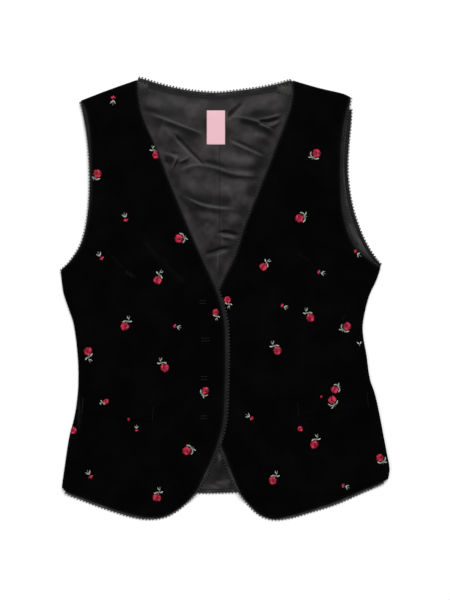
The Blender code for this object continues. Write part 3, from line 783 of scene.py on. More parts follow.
# Painted shade and highlight in the same columns: painted shade on folds above nought and painted satin
# highlights below it
liningShades = [
    (((-101.3, 257.7), (-93.3, 255.9), (-85.3, 254.8)), -0.28, 5, 5),
    (((-65, 254.8), (-56.3, 253.9), (-49, 253.3)), -0.14, 5, 5),
    (((-105.6, 247.5), (-86.8, 244.6), (-78.1, 241.4)), 0.28, 3.4, 3),
    (((-79.5, 232.3), (-56.3, 221.7), (-27.3, 213.4)), 0.38, 3, 4),
    (((-86.8, 215.6), (-78.1, 209.8), (-69.4, 205.4)), -0.22, 7, 7),
    (((-62.1, 209.8), (-46.1, 193.8), (-28.7, 178.6)), 0.62, 1.1, 1.3),
    (((-30, 180.6), (-14, 177.6), (6, 170)), 0.44, 3.4, 2),
    (((4, 186), (20, 182), (38, 178)), -0.46, 6, 6),
    (((-14.2, 168.4), (9, 160.7), (46.7, 158.7)), 0.30, 1.4, 3.6),
    (((23.5, 215.6), (32.2, 211.2), (42.4, 205.4)), -0.26, 6, 8),
    (((10, 208), (30, 199.3), (54, 187.5)), 0.62, 2.2, 1.4),
    (((2.5, 205), (23.5, 195.5), (54, 182)), 0.26, 1.4, 2.8),
    (((16.3, 235.9), (38, 234.2), (59.8, 229.8)), 0.46, 2.2, 2),
    (((27.9, 238.1), (59.8, 253.3), (71.4, 261.3)), 0.30, 4, 4),
    (((1.5, 235.2), (11.9, 245.8), (22.8, 256.5)), 0.52, 1.3, 1.3),
    (((20.6, 144.5), (25, 150.3), (32.2, 157.5)), -0.24, 5, 5),
    (((-60.6, 161.9), (-50.5, 160.7), (-38.9, 159)), -0.28, 5, 5),
    (((-50.5, 142.3), (-38.9, 137.2), (-27.3, 132.1)), 0.20, 6, 5),
    (((-12.8, 134.3), (-2.6, 130), (7.6, 124.9)), 0.26, 5, 4),
    (((3.2, 109.7), (11.9, 108.9), (22.1, 108.2)), -0.22, 6, 6),
    (((-47.6, 121.3), (-40.3, 112.6), (-31.6, 103.8)), 0.18, 5, 5),
    (((-78.1, 182.2), (-71.5, 180.8), (-64.3, 180)), 0.40, 3, 3),
    (((-68.6, 192.7), (-63.6, 190.9), (-57, 189.2)), 0.32, 2.2, 2.2),
    (((-21.5, 91.5), (-15.7, 92.5), (-10.6, 93.7)), -0.26, 4, 4),
    (((-4.8, 92.2), (7.6, 90.1), (21.3, 87.6)), 0.36, 1.2, 4),
    (((-31.6, 130), (-14.2, 125.3), (9, 119.8)), 0.16, 5, 1.4),
    (((-103, 267), (-94, 267.6), (-85, 266)), 0.34, 1.4, 2.4),
    (((-83, 262), (-76, 257), (-66, 251)), 0.22, 3, 3.4),
    (((-27.5, 62), (-16, 64), (-6.4, 67.8), (8, 69.5)), 0.42, 1, 2.4),
    (((20, 150), (23, 138), (25, 124)), -0.55, 6, 6),
    (((-1, 150), (8, 136), (16, 118)), -0.5, 4, 4),
    (((12, 146), (15, 138), (19, 128)), -0.6, 3.4, 3.4),
    (((36, 149), (38, 141), (35, 133)), 0.24, 3, 3),
    (((-60, 157), (-48, 152), (-34, 150)), -0.4, 6, 7),
    (((-7, -196), (-7.5, -208), (-7, -223)), 0.46, 10, 10),
    (((-14, -230.5), (-2, -230.5), (9, -227)), -0.70, 2, 3.2),
    (((-21, -234), (-14, -235.5), (-7, -238.4)), -1.10, 1, 1.4),
    (((-8, -193), (-6, -198), (-7, -204)), -0.90, 1.8, 2.2),
    (((158, 102), (164, 90), (171, 79)), -0.90, 2, 2.6),
    (((165, 79), (171, 71.5)), 0.50, 2, 2),
]
# Broad swells between the creases: x, y, rise, spread across, spread along
liningSwells = [
    (-45, 136, 1.4, 26, 11), (22, 142, 1, 20, 10), (-70, 212, 1.1, 18, 9),
    (34, 178, 1.1, 22, 9), (-50, 252, 0.8, 24, 8), (40, 248, 0.8, 18, 7),
    (12, 100, 1, 10, 9), (-24, 108, 0.8, 12, 8), (-12, 46, 0.8, 8, 8),
]


def backOutline(step):
    seams = [
        insetLine(seamLine(edges, name, step), backCloth["inset"], loop)
        for edges, loop in ((leftEdges, leftLoop), (rightEdges, rightLoop))
        for name in turnedEdges
    ]
    leftSide, leftShoulder, rightSide, rightShoulder = seams
    return np.vstack([
        seamLine(backEdges, "neck", step), leftShoulder[::-1], seamLine(backEdges, "leftArmhole", step),
        leftSide[::-1][2:-2], seamLine(backEdges, "hem", step), rightSide[2:-2],
        seamLine(backEdges, "rightArmhole", step), rightShoulder,
    ])


backLoop = backOutline(outlineStep)
liningLoop = backOutline(liningCloth["fine"])
backRing = np.vstack([backLoop, backLoop[:1]])


def rimDrop(cloth, points):  # how far the rim of the back's cloth is rounded off
    return cloth["edgeDrop"] * roundShare(distanceTo(backRing, points), cloth["edgeRound"])


def liningTop(points):
    cloth = liningCloth
    shown = smoothStep(*cloth["fade"], frontGap(points))
    shown *= smoothStep(*cloth["edgeFade"], distanceTo(backRing, points))
    reach = np.abs(points - labelShape["middle"]) - labelShape["size"] / 2
    calm = smoothStep(*cloth["labelCalm"], np.linalg.norm(np.maximum(reach, 0.0), axis=1))
    relief = creaseRise(points, liningCreases) + swellRise(points, liningSwells)
    seam = cloth["seamDepth"] * np.exp(-(((points[:, 0] - cloth["seamX"]) / cloth["seamWide"]) ** 2))
    rise = shown * (cloth["billow"] + calm * (relief - seam))
    return cloth["floor"] + cloth["thick"] + np.maximum(rise, cloth["deepest"])


def liningFaces(points):
    top = liningTop(points)
    roundOff = rimDrop(liningCloth, points)
    return top - roundOff, top - liningCloth["thick"] + roundOff


backCreases = [
    # seen from beneath as shallow troughs
    (((-7, 262), (-8, 20), (-6, -238)), 0.35, 0.9, 0.9),  # centre-back seam
    (((-96, 60), (-92, -60), (-98, -190)), 0.30, 1, 1),  # back darts
    (((84, 60), (80, -60), (86, -190)), 0.30, 1, 1),
    (((-150, 190), (-90, 150), (-30, 160)), 0.35, 7, 4),
    (((120, 200), (76, 140), (20, 128)), 0.30, 8, 5),
    (((-180, -40), (-130, -52), (-104, -40)), 0.30, 6, 4),
    (((166, -60), (130, -78), (92, -66)), 0.32, 6, 4),
    (((-150, -150), (-110, -190), (-112, -226)), 0.28, 8, 5),
    (((140, -140), (118, -180), (122, -220)), 0.26, 8, 5),
]


def backFaces(points):
    dents = creaseRise(points, backCreases)
    roundOff = rimDrop(backCloth, points)
    return backCloth["thick"] - roundOff, np.maximum(dents, 0.0) + roundOff


def makeBack():
    cloth = backCloth
    rows = wellInside(backLoop, insetRows([backRing], cloth["rows"], backLoop), cloth["rowClear"])
    seams = np.vstack([
        smoothPath(row[0], 5.0) + (shift, 0.0) for row in backCreases[:3] for shift in cloth["seamRows"]
    ])
    kept = np.vstack([thinned(rows, cloth["rowGap"]), wellInside(backLoop, seams, cloth["seamClear"])])
    fromLoop, fromRows = cloth["fieldClear"]
    field = apart(kept, gridPoints(backLoop, cloth["grid"], fromLoop), fromRows)
    return clothShell("back_velvet", backLoop, np.vstack([kept, field]), backFaces, velvet)


def makeLining():
    cloth = liningCloth
    (fineLoop, fineRows), (coarseLoop, coarseRows) = cloth["fineClear"], cloth["coarseClear"]
    fine = gridPoints(backLoop, cloth["fine"], fineLoop)
    fine = fine[frontGap(fine) > -cloth["underFronts"]]
    rows = insetRows([np.vstack([liningLoop, liningLoop[:1]])], cloth["rows"], backLoop)
    border = thinned(wellInside(liningLoop, rows, cloth["rowClear"]), cloth["rowGap"])
    kept = np.vstack([border, apart(border, fine, fineRows)])
    coarse = apart(kept, gridPoints(backLoop, cloth["coarse"], coarseLoop), coarseRows)
    made = clothShell("back_lining_satin", liningLoop, np.vstack([kept, coarse]), liningFaces, satin)
    places = np.array([vertex.co[:] for vertex in made.data.vertices]) / mm + planMiddle
    # painted shade and highlight for the satin's colour
    setValues(made, "paintedShadeLevel", paintedFoldShading(places))
    return made


def paintedFoldShading(places):  # painted shade level: above a half is painted shade in troughs, on slopes facing the hem (turned from the key light) and by the neck edge; below a half is painted highlight on crests and satin lights
    cloth = liningCloth
    upper = places[:len(places) // 2]
    tree = planTree(upper)
    found = np.full(len(places), 0.5, np.float32)
    # painted shade in hollows and on slopes turned from the key light, painted highlight on crests
    for number, (x, y, z) in enumerate(upper):
        near = [other for _, other, _ in tree.find_range((x, y, 0.0), cloth["hollowReach"])]
        around = upper[near] - (x, y, z)
        slope = (around[:, 1] * around[:, 2]).sum() / max((around[:, 1] ** 2).sum(), 0.1)
        sunk = around[:, 2].mean() / (2 * cloth["hollowDepth"])
        found[number] = 0.5 + sunk + np.clip(slope, *cloth["slopeRange"]) * cloth["slopeShade"]
    neck = distanceTo(smoothPath(backEdges["neck"], 2.0)[:, :2], upper[:, :2])
    # a painted shadow under the neck braid and a broad painted shade below the neck
    found[:len(upper)] += cloth["neckShadowDepth"] * (1 - smoothStep(*cloth["neckShade"], neck))
    found[:len(upper)] += cloth["shelterShadowDepth"] * (1 - smoothStep(*cloth["neckShelter"], neck))
    # painted fold shade and painted satin highlights from the table
    found[:len(upper)] += creaseRise(upper[:, :2], liningShades)
    return np.clip(found, 0.0, 1.0).astype(np.float32)


back = makeBack()
lining = makeLining()
print("back and lining made")


# Welts and label
weltShape = {
    "thick": 1.3,
    "right": [(-182.7, -122.1), (-89.6, -134), (-91.3, -153.6), (-184.1, -142.5)],
    "left": [(183, -113.9), (90.9, -128.4), (92.5, -148), (184.6, -134)],
}


def cornerLoop(corners, step):
    corners = np.array(corners)
    return joined([evenly(np.array(side), step) for side in zip(corners, np.roll(corners, -1, axis=0))])[:-1]


patchEdge = {"rows": (0.325, 0.91), "clear": 0.4, "round": 0.7, "least": 0.2, "drop": 0.75}


def patchShell(name, loop, step, floor, thick, finish):
    ring = np.vstack([loop, loop[:1]])
    inward = loop.mean(0) - loop
    inward /= np.linalg.norm(inward, axis=1)[:, None]
    border = np.vstack([loop + inward * depth for depth in patchEdge["rows"]])
    clear = step * patchEdge["clear"]
    inner = apart(border, gridPoints(loop, step, clear), clear)
    drop = (thick - patchEdge["least"]) * patchEdge["drop"]

    def faces(points):
        level = floor(points)
        return level + thick - drop * roundShare(distanceTo(ring, points), patchEdge["round"]), level

    return clothShell(name, loop, np.vstack([border, inner]), faces, finish)


def makeWelt(side, edges):
    loop = cornerLoop(weltShape[side], 2.5)
    floor = above(edges, frontCloth["clear"])
    return patchShell(side + "_welt_velvet", loop, 2.5, floor, weltShape["thick"], velvet)


def makeLabelPiece():
    half = labelShape["size"] / 2
    corners = np.array([(-1, -1), (1, -1), (1, 1), (-1, 1)]) * half + labelShape["middle"]
    return patchShell(
        "label_woven", cornerLoop(corners, 1.5), 1.5, lambda points: liningTop(points) + labelShape["lift"],
        labelShape["thick"], labelCloth,
    )


rightWelt = makeWelt("right", rightEdges)
leftWelt = makeWelt("left", leftEdges)
label = makeLabelPiece()
print("welts and label made")


# Node trees for what repeats
def newTree(name, inputs):
    geometry = ("Geometry", "NodeSocketGeometry")
    return newGroup(name, "GeometryNodeTree", [(*geometry, None)] + inputs, [geometry])


def addNode(tree, kind, links=None, **settings):
    node = tree.nodes.new(kind)
    for name, value in settings.items():
        setattr(node, name, value)
    for name, value in (links or {}).items():
        feed(tree, node.inputs[name], value)
    return node


def namedAttribute(tree, name, kind):
    found = addNode(tree, "GeometryNodeInputNamedAttribute", {"Name": name}, data_type=kind)
    return found.outputs["Attribute"]


def finishTree(tree, start, end, geometry):  # real geometry with its finish
    real = addNode(tree, "GeometryNodeRealizeInstances", {"Geometry": geometry})
    values = {"Geometry": real.outputs[0], "Material": start["Finish"]}
    tree.links.new(addNode(tree, "GeometryNodeSetMaterial", values).outputs[0], end[0])
    return tree


def braidTree():  # ribs along a rail, with picots on its outer side and small loops on its inner side
    tree, start, end = newTree("braidAlongEdge", [
        ("Rib", "NodeSocketObject", None), ("Picot", "NodeSocketObject", None),
        ("Tape", "NodeSocketObject", None), ("Rib spacing", "NodeSocketFloat", 0.0015),
        ("Picot spacing", "NodeSocketFloat", 0.004), ("Picot size", "NodeSocketVector", (1.0, 1.0, 1.0)),
        ("Finish", "NodeSocketMaterial", None),
    ])
    rail = addNode(tree, "GeometryNodeMeshToCurve", {"Mesh": start["Geometry"]}).outputs[0]
    across = namedAttribute(tree, "across", "FLOAT_VECTOR")
    wide = namedAttribute(tree, "wide", "FLOAT")
    axes = {"Primary Axis": (0.0, 0.0, 1.0), "Secondary Axis": across}
    turned = addNode(tree, "FunctionNodeAxesToRotation", axes, primary_axis="Z", secondary_axis="Y")
    parts = []
    for part, spacing in (("Rib", "Rib spacing"), ("Picot", "Picot spacing"), ("Inner", "Picot spacing")):
        values = {"Curve": rail, "Length": start[spacing]}
        points = addNode(tree, "GeometryNodeResampleCurve", values, mode="LENGTH").outputs[0]
        scale = start["Picot size"]
        if part == "Rib":
            scale = addNode(tree, "ShaderNodeCombineXYZ", {"X": 1.0, "Y": wide, "Z": 1.0}).outputs[0]
        elif part == "Inner":
            scale = (0.8, -0.7, 0.8)
        else:
            outward = addNode(tree, "ShaderNodeVectorMath", {0: across, "Scale": wide}, operation="SCALE")
            values = {"Geometry": points, "Offset": outward.outputs[0]}
            points = addNode(tree, "GeometryNodeSetPosition", values).outputs[0]
        source = start["Rib" if part == "Rib" else "Picot"]
        shape = addNode(tree, "GeometryNodeObjectInfo", {"Object": source}).outputs["Geometry"]
        if part != "Rib":
            values = {"Geometry": shape, "Name": "loop", "Value": 1.0}
            loops = addNode(tree, "GeometryNodeStoreNamedAttribute", values, data_type="FLOAT")
            shape = loops.outputs[0]
        parts.append(addNode(tree, "GeometryNodeInstanceOnPoints", {
            "Points": points, "Instance": shape, "Rotation": turned.outputs[0], "Scale": scale,
        }).outputs[0])
    parts.append(addNode(tree, "GeometryNodeObjectInfo", {"Object": start["Tape"]}).outputs["Geometry"])
    together = addNode(tree, "GeometryNodeJoinGeometry")
    for part in parts:
        tree.links.new(part, together.inputs[0])
    return finishTree(tree, start, end, together.outputs[0])


def threadTree():  # one arched, tapered thread for each loose edge
    tree, start, end = newTree("stitchedThreads", [
        ("Thread radius", "NodeSocketFloat", 0.00022), ("Arch", "NodeSocketFloat", 0.00025),
        ("Parts", "NodeSocketInt", 4), ("Sides", "NodeSocketInt", 5), ("Finish", "NodeSocketMaterial", None),
    ])
    lines = addNode(tree, "GeometryNodeMeshToCurve", {"Mesh": start["Geometry"]}).outputs[0]
    values = {"Curve": lines, "Count": start["Parts"]}
    lines = addNode(tree, "GeometryNodeResampleCurve", values).outputs[0]
    factor = addNode(tree, "GeometryNodeSplineParameter").outputs["Factor"]
    bow = multiply(tree, factor, subtract(tree, 1.0, factor))
    lift = multiply(tree, multiply(tree, bow, 4.0), start["Arch"])
    upward = addNode(tree, "ShaderNodeCombineXYZ", {"Z": lift}).outputs[0]
    lines = addNode(tree, "GeometryNodeSetPosition", {"Geometry": lines, "Offset": upward}).outputs[0]
    swell = add(tree, multiply(tree, bow, 1.6), 0.6)
    profile = addNode(tree, "GeometryNodeCurvePrimitiveCircle", {
        "Resolution": start["Sides"], "Radius": start["Thread radius"],
    }).outputs[0]
    tubes = addNode(tree, "GeometryNodeCurveToMesh", {
        "Curve": lines, "Profile Curve": profile, "Scale": swell, "Fill Caps": True,
    }).outputs[0]
    return finishTree(tree, start, end, tubes)


def grow(piece, tree, values):  # runs the tree and keeps its result as a plain mesh
    modifier = piece.modifiers.new("grow", "NODES")
    modifier.node_group = tree
    for item in tree.interface.items_tree:
        if item.in_out == "INPUT" and item.name in values:
            modifier[item.identifier] = values[item.name]
    evaluated = piece.evaluated_get(bpy.context.evaluated_depsgraph_get())
    mesh = bpy.data.meshes.new_from_object(evaluated)
    piece.modifiers.remove(modifier)
    piece.data = mesh
    mesh.shade_smooth()
    return piece


braiding = braidTree()
threading = threadTree()

# Braid
braidTrim = {
    "ribEvery": 0.00155, "picotEvery": 0.00415, "tapeThick": 0.5, "picotReach": 1.5, "picotFoot": 0.5,
    "picotWide": 0.72, "picotTall": 1.3, "picotThread": 0.48, "narrowest": 0.9, "railIn": 0.1,
    # below: how far down the hem's painted light starts and where it is full
    "paintedHemLightFrom": (165.0, 275.0),
}
plainPicot = (1.0, 1.0, 1.0)


def tubeFaces(rings, sides):  # the skin between the rings, and the two ends
    faces = []
    for ring in range(rings - 1):
        for side in range(sides):
            a, b = ring * sides + side, ring * sides + (side + 1) % sides
            faces.append((a, b, b + sides, a + sides))
    return faces + [tuple(reversed(range(sides))), tuple(range((rings - 1) * sides, rings * sides))]


def turnedOver(faces):
    return [tuple(reversed(face)) for face in faces]


def ribShape():  # a slanted, rounded bar one metre long in Y, scaled to the braid's width
    rings, sides, points = 5, 6, []
    for share in np.linspace(0.0, 1.0, rings):
        swell = 0.55 + 0.45 * np.sin(np.pi * share)
        for turn in np.arange(sides) * 2 * np.pi / sides:
            points.append((
                (0.78 * np.cos(turn) * swell + 0.9 * (share - 0.5)) * mm, share,
                (0.62 * np.sin(turn) * swell + 0.12 * np.sin(np.pi * share)) * mm,
            ))
    return newObject("ribShape", np.array(points).tolist(), [], turnedOver(tubeFaces(rings, sides)))


def picotShape():  # a small thread loop standing out from the edge
    rings, sides, points = 9, 5, []
    thread = braidTrim["picotThread"]
    for share in np.linspace(0.0, 1.0, rings):
        turn = np.pi * (share * 1.24 - 0.12)
        for small in np.arange(sides) * 2 * np.pi / sides:
            points.append((
                (braidTrim["picotWide"] + thread * np.cos(small)) * np.cos(turn) * mm,
                (braidTrim["picotTall"] + thread * np.cos(small)) * np.sin(turn) * mm,
                thread * np.sin(small) * mm,
            ))
    return newObject("picotShape", np.array(points).tolist(), [], tubeFaces(rings, sides))


def tapeMesh(line, across, wide, levels):  # the flat ground of the braid
    half = braidTrim["tapeThick"] / 2
    profile = [(-0.4, -half), (-0.4, half), (0.5, half * 1.3), (1.0, half), (1.0, -half)]
    points = []
    for place, side, reach, level in zip(line, across, wide, levels):
        for out, rise in profile:
            points.append((*(place + side * (out * (reach if out > 0 else 1.0))), level + rise))
    return placed(points), tubeFaces(len(line), len(profile))


def makeBraidPiece(name, edge, outward, height, droop, finish=None, picotSize=plainPicot):
    edge = evenly(edge, 2.0)
    line = edge[:, :2]
    wide = np.maximum(edge[:, 2] - braidTrim["picotReach"] + braidTrim["picotFoot"], braidTrim["narrowest"])
    across = sideNormals(line) * outward
    levels = height(line) - droop
    points, faces = tapeMesh(line, across, wide, levels)
    tape = newObject("tapeShape", points, [], faces if outward > 0 else turnedOver(faces))
    rail = placed(np.column_stack([line - braidTrim["railIn"] * across, levels]))
    piece = newObject(name, rail, [(k, k + 1) for k in range(len(rail) - 1)], [])
    setValues(piece, "across", np.column_stack([across, np.zeros(len(line))]), "FLOAT_VECTOR")
    setValues(piece, "wide", wide * mm)
    # painted light on the braid towards the hem
    setValues(piece, "paintedHemLight", smoothStep(*braidTrim["paintedHemLightFrom"], -line[:, 1]))
    grow(piece, braiding, {
        "Rib": rib, "Picot": picot, "Tape": tape, "Finish": finish or braid,
        "Rib spacing": braidTrim["ribEvery"], "Picot spacing": braidTrim["picotEvery"],
        "Picot size": picotSize,
    })
    bpy.data.objects.remove(tape)
    return piece


def braidPath(edges, names):
    return joined([smoothPath(edges[name], 2.0) for name in names])


rib, picot = ribShape(), picotShape()
frontBraids = {}
for side, edges, outward in (("right", rightEdges, 1), ("left", leftEdges, -1)):
    def sideLevel(points, edges=edges):
        return frontMiddle(points, edges)
    border = braidPath(edges, ("neck", "frontEdge", "hem"))[1:-4]
    armhole = braidPath(edges, ("armhole",))[1:-1]
    frontBraids[side] = [
        makeBraidPiece(side + end, path, outward, sideLevel, frontCloth["clear"])
        for end, path in (("_front_braid_picot", border), ("_armhole_braid_picot", armhole))
    ]
backBraidEnds = {  # the back's braid runs on to the corners, tucked against the fronts
    "neck": ([(-111.6, 282.6, 4.4)], [(85.6, 279.6, 4.4)]),
    "leftArmhole": ([], [(197.6, 46.6, 3.6)]),
    "hem": ([], []),
    "rightArmhole": ([(-207, 41.4, 1.6)], []),
}
backTuck = {"neck": -0.7, "hem": 0.0, "leftArmhole": 0.0, "rightArmhole": 2.0}


def onBack(points):
    return np.full(len(points), backCloth["thick"])


backBraids = []
for name, part in (
    ("back_neck_braid_picot", "neck"), ("back_hem_braid_picot", "hem"),
    ("left_back_armhole_picot", "leftArmhole"), ("right_back_armhole_picot", "rightArmhole"),
):
    first, last = backBraidEnds[part]
    path = smoothPath(first + backEdges[part] + last, 2.0)
    path = path[0 if first else 2:len(path) if last else -2]
    path[:, 2] = np.maximum(path[:, 2] - backTuck[part], 1.0)
    shownFace, picotSize = (braidInside, (0.95, 1.45, 1.0)) if part == "neck" else (braid, plainPicot)
    backBraids.append(makeBraidPiece(name, path, 1, onBack, 0.0, shownFace, picotSize))
footLift = 0.55
braidFoot = {  # the turned-in ends of the braid, flat on the corners of the lining: x, y, width upwards
    "right_braid_foot": [(-112.2, 270, 11.4), (-106, 270.2, 11), (-98.4, 271.6, 8)],
    "left_braid_foot": [(66, 267.6, 8.6), (75, 266, 11.6), (85.6, 264.4, 15.4)],
}
braidFeet = [
    makeBraidPiece(name, smoothPath(rows, 2.0), 1, liningTop, -footLift, braidBelow)
    for name, rows in braidFoot.items()
]
for tool in (rib, picot):
    bpy.data.objects.remove(tool)
print("braid made")

# Embroidery
embroidery = {"thread": 0.00024, "arch": 0.0003, "lift": 0.22, "pitch": 0.5}
rightSprigs = [
    # x, y, direction of the stem in degrees, scale, kind
    (-163, 164, 235, 1.0, "hug"), (-88, 188, 120, 0.92, "stem"), (-59, 81, 20, 0.98, "hug"),
    (-86, 28, 75, 0.98, "stem"), (-128, -31, 58, 1.0, "stem"), (-77, -84, 125, 1.0, "stem"),
    (-175, -63, 275, 1.0, "stem"), (-25, -113, 232, 0.85, "hug"), (-152, -127, 192, 0.62, "stem"),
    (-194, -164, 95, 0.85, "head"), (-49, -190, 28, 1.0, "hug"), (-172, -222, 125, 0.95, "bud"),
    (-87, -250, 68, 0.98, "stem"), (-143, 260, 272, 0.95, "bud"), (-127, 106, 100, 0.95, "bud"),
    (-158, 57, 128, 0.95, "bud"), (-63, -31, -22, 0.85, "bud"), (-12, -13, 287, 0.75, "stem"),
    (-123, -150, 60, 0.3, "head"), (-113, -163, 95, 0.65, "bud"),
]
leftSprigs = [
    (117, 190, 232, 1.0, "hug"), (95, 107, 15, 1.0, "hug"), (168, 64, 310, 0.95, "bud"),
    (49, 45, 55, 0.9, "stem"), (121, 38, -20, 0.85, "bud"), (3, 3, 290, 0.8, "stem"),
    (74, -5, -30, 0.8, "bud"), (109, -20, 125, 0.98, "stem"), (156, -31, 228, 0.95, "hug"),
    (67, -62, 130, 1.0, "stem"), (172, -54, 95, 0.7, "leaf"), (140, -112, 32, 0.85, "hug"),
    (137, -125, 292, 0.95, "hug"), (123, -121, 180, 0.25, "head"), (33, -148, 140, 0.9, "bud"),
    (96, -162, 90, 0.62, "head"), (114, -182, 66, 0.98, "stem"), (198, -199, 300, 0.9, "hug"),
    (61, -228, 58, 0.95, "stem"), (152, -235, -15, 0.85, "bud"),
]
# Leaves of each kind of sprig: foot, bow and tip as x, y from the head, with x along the stem; then width
leafTable = {
    "stem": [
        (7.4, 0.3, 5.6, 3.4, 3.2, 5.6, 1.9), (7.6, 0.2, 8.6, -2.6, 10.6, -4.6, 1.7),
        (10.6, 0.3, 11.2, 2.6, 13.2, 4.2, 1.4),
    ],
    "hug": [
        (7.0, -0.5, 6.6, 3.4, 3.0, 6.6, 1.9), (7.2, -0.8, 6.6, -4.4, 2.6, -7.0, 1.8),
        (7.6, -0.6, 9.2, -3.0, 10.4, -5.8, 1.3),
    ],
    "bud": [(2.6, 0.2, 4.6, 2.2, 7.0, 3.8, 1.8), (2.6, -0.2, 4.8, -1.8, 7.4, -3.0, 1.7)],
    "leaf": [(0.0, 0.0, 2.0, 2.4, 4.6, 4.4, 1.9), (0.0, 0.0, 2.4, -2.0, 5.0, -3.6, 1.8)],
    "head": [],
}
stemTable = {
    "stem": [(4.0, 0.0), (7.6, 0.3), (11.0, 0.1), (14.2, 1.5)],
    "hug": [(4.2, 0.6), (7.2, -0.6), (9.6, 0.4)],
    "bud": [(1.4, 0.0), (4.2, 0.1), (8.6, 0.8)],
    "leaf": [(0.0, 0.0), (-3.0, 0.4)],
    "head": [],
}


def leafStitches(x0, y0, x1, y1, x2, y2, wide):
    line = smoothPath([(x0, y0), (x1, y1), (x2, y2)], embroidery["pitch"])
    normals = sideNormals(line)
    along = np.column_stack([normals[:, 1], -normals[:, 0]])
    stitches = []
    for k, place in enumerate(line[1:-1], 1):
        share = k / (len(line) - 1)
        half = wide / 2 * np.sin(np.pi * share) ** 0.7
        slant = along[k] * half * 0.9
        shade = 0.55 + 0.4 * np.sin(5.0 * share + x2)
        stitches.append((place + normals[k] * half + slant, place - normals[k] * half - slant, shade, 0.0))
    return stitches


def stemStitches(rows):
    line = smoothPath(rows, 1.5)
    return [(start, stop + (stop - start) * 0.25, 0.35 + 0.1 * (k % 3), -0.05)
            for k, (start, stop) in enumerate(zip(line[:-1], line[1:]))]


def petalStitches(turn, foot, long, wide, count, shade, lift):
    out = np.array([np.cos(turn), np.sin(turn)])
    side = np.array([-out[1], out[0]])
    stitches = []
    for k in range(count):
        share = 2 * (k + 0.5) / count - 1
        start = out * foot + side * share * wide * 0.3
        stop = out * (foot + long * np.sqrt(1 - 0.5 * share**2)) + side * (share * wide * 0.5 + 0.2 * long)
        stitches.append((start, stop, shade - 0.55 * share**2 + 0.1 * (k % 2), lift))
    return stitches


def headStitches(turn):
    stitches = []
    for k in range(6):
        bright = 0.55 + 0.4 * np.sin(2.4 * k + turn)
        stitches += petalStitches(turn + k * np.pi / 3, 1.5, 3.9 - 0.3 * (k % 2), 5.8, 11, bright, 0.0)
    for k in range(4):
        bright = 0.35 + 0.3 * np.sin(1.9 * k + turn)
        stitches += petalStitches(turn + 0.5 + k * np.pi / 2, 0.5, 2.1, 2.6, 6, bright, 0.3)
    for k in range(5):
        offset = (k - 2) * 0.36
        stitches.append((np.array([offset, -0.8]), np.array([offset + 0.3, 0.8]), 0.1 + 0.15 * (k % 2), 0.5))
    return stitches


def budStitches():
    stitches = petalStitches(np.pi, 0.2, 3.5, 3.6, 8, 0.6, 0.0)
    stitches += petalStitches(np.pi + 1.0, 0.6, 3.0, 2.4, 6, 0.35, 0.1)
    return stitches + petalStitches(np.pi - 1.1, 0.6, 2.8, 2.2, 6, 0.8, 0.1)


def sprigStitches(rows):  # stitches of all the heads, and of all the leaves and stems
    red, green = [], []
    for number, (x, y, angle, scale, kind) in enumerate(rows):
        turn = np.radians(angle)
        flip = -1.0 if number % 2 else 1.0
        spin = np.array([[np.cos(turn), -np.sin(turn)], [np.sin(turn), np.cos(turn)]])
        heads = [] if kind == "leaf" else budStitches() if kind == "bud" else headStitches(0.7 * number)
        leaves = [stitch for row in leafTable[kind] for stitch in leafStitches(*row)]
        if stemTable[kind]:
            leaves += stemStitches(stemTable[kind])
        for found, local in ((red, heads), (green, leaves)):
            for start, stop, shade, lift in local:
                ends = np.array([start, stop]) * (1.0, flip) * scale
                ends = ends @ spin.T + (x, y)
                found.append((ends[0], ends[1], shade, lift))
    return red, green


def stitchPiece(name, stitches, height, finish, sewn):
    ends = np.array([end for stitch in stitches for end in stitch[:2]])
    lifts = np.repeat([stitch[3] for stitch in stitches], 2)
    places = placed(np.column_stack([ends, height(ends) + lifts]))
    piece = newObject(name, places, [(2 * k, 2 * k + 1) for k in range(len(stitches))], [])
    setValues(piece, "shade", np.repeat([stitch[2] for stitch in stitches], 2))
    return grow(piece, threading, {
        "Thread radius": sewn["thread"], "Arch": sewn["arch"], "Parts": 4, "Sides": 5, "Finish": finish,
    })


stitching = {}
weltRise = frontCloth["clear"] + weltShape["thick"]
for side, edges, loop, rows in (
    ("right", rightEdges, rightLoop, rightSprigs), ("left", leftEdges, leftLoop, leftSprigs),
):
    def onFront(points, level=above(edges, embroidery["lift"]), welt=cornerLoop(weltShape[side], 2.5)):
        return level(points) + weltRise * smoothStep(-0.9, 0.1, -outsideDistance(welt, points))
    kept = []
    for stitches in sprigStitches(rows):
        middles = np.array([(start + stop) / 2 for start, stop, _, _ in stitches])
        clear = outsideDistance(loop, middles) < -1.0
        kept.append([stitch for stitch, fits in zip(stitches, clear) if fits])
    stitching[side] = [
        stitchPiece(side + "_front_roses", kept[0], onFront, roseThread, embroidery),
        stitchPiece(side + "_front_leaves", kept[1], onFront, leafThread, embroidery),
    ]
print("embroidery made")

# Seam stitches and small sewing
sewing = {
    "seamStitch": 2.2, "seamGap": 1.0, "seamFrom": 208.0, "seamTo": 30.0, "thread": 0.00022, "arch": 0.0002,
}
hookMarks = [(-28.9, 0, 7.6), (-25.4, -48, 10.4), (-27.1, -97.3, 8.4), (-27.6, -147.2, 8.8)]
weltEnds = {"right": (0.95, 0.25), "left": (0.2, 0.2)}  # how light the sewing is at the outer and inner end


def hookStitches():
    stitches = []
    for x, y, long in hookMarks:
        for rise in (-1.9, 1.7):
            for k in range(4):
                start = np.array([x + long * (k / 4 - 0.5), y + rise + 0.3 * (k % 2)])
                stitches.append((start, start + (long / 4 + 0.4, 0.1), 0.8 + 0.2 * (k % 2), 0.0))
    return stitches


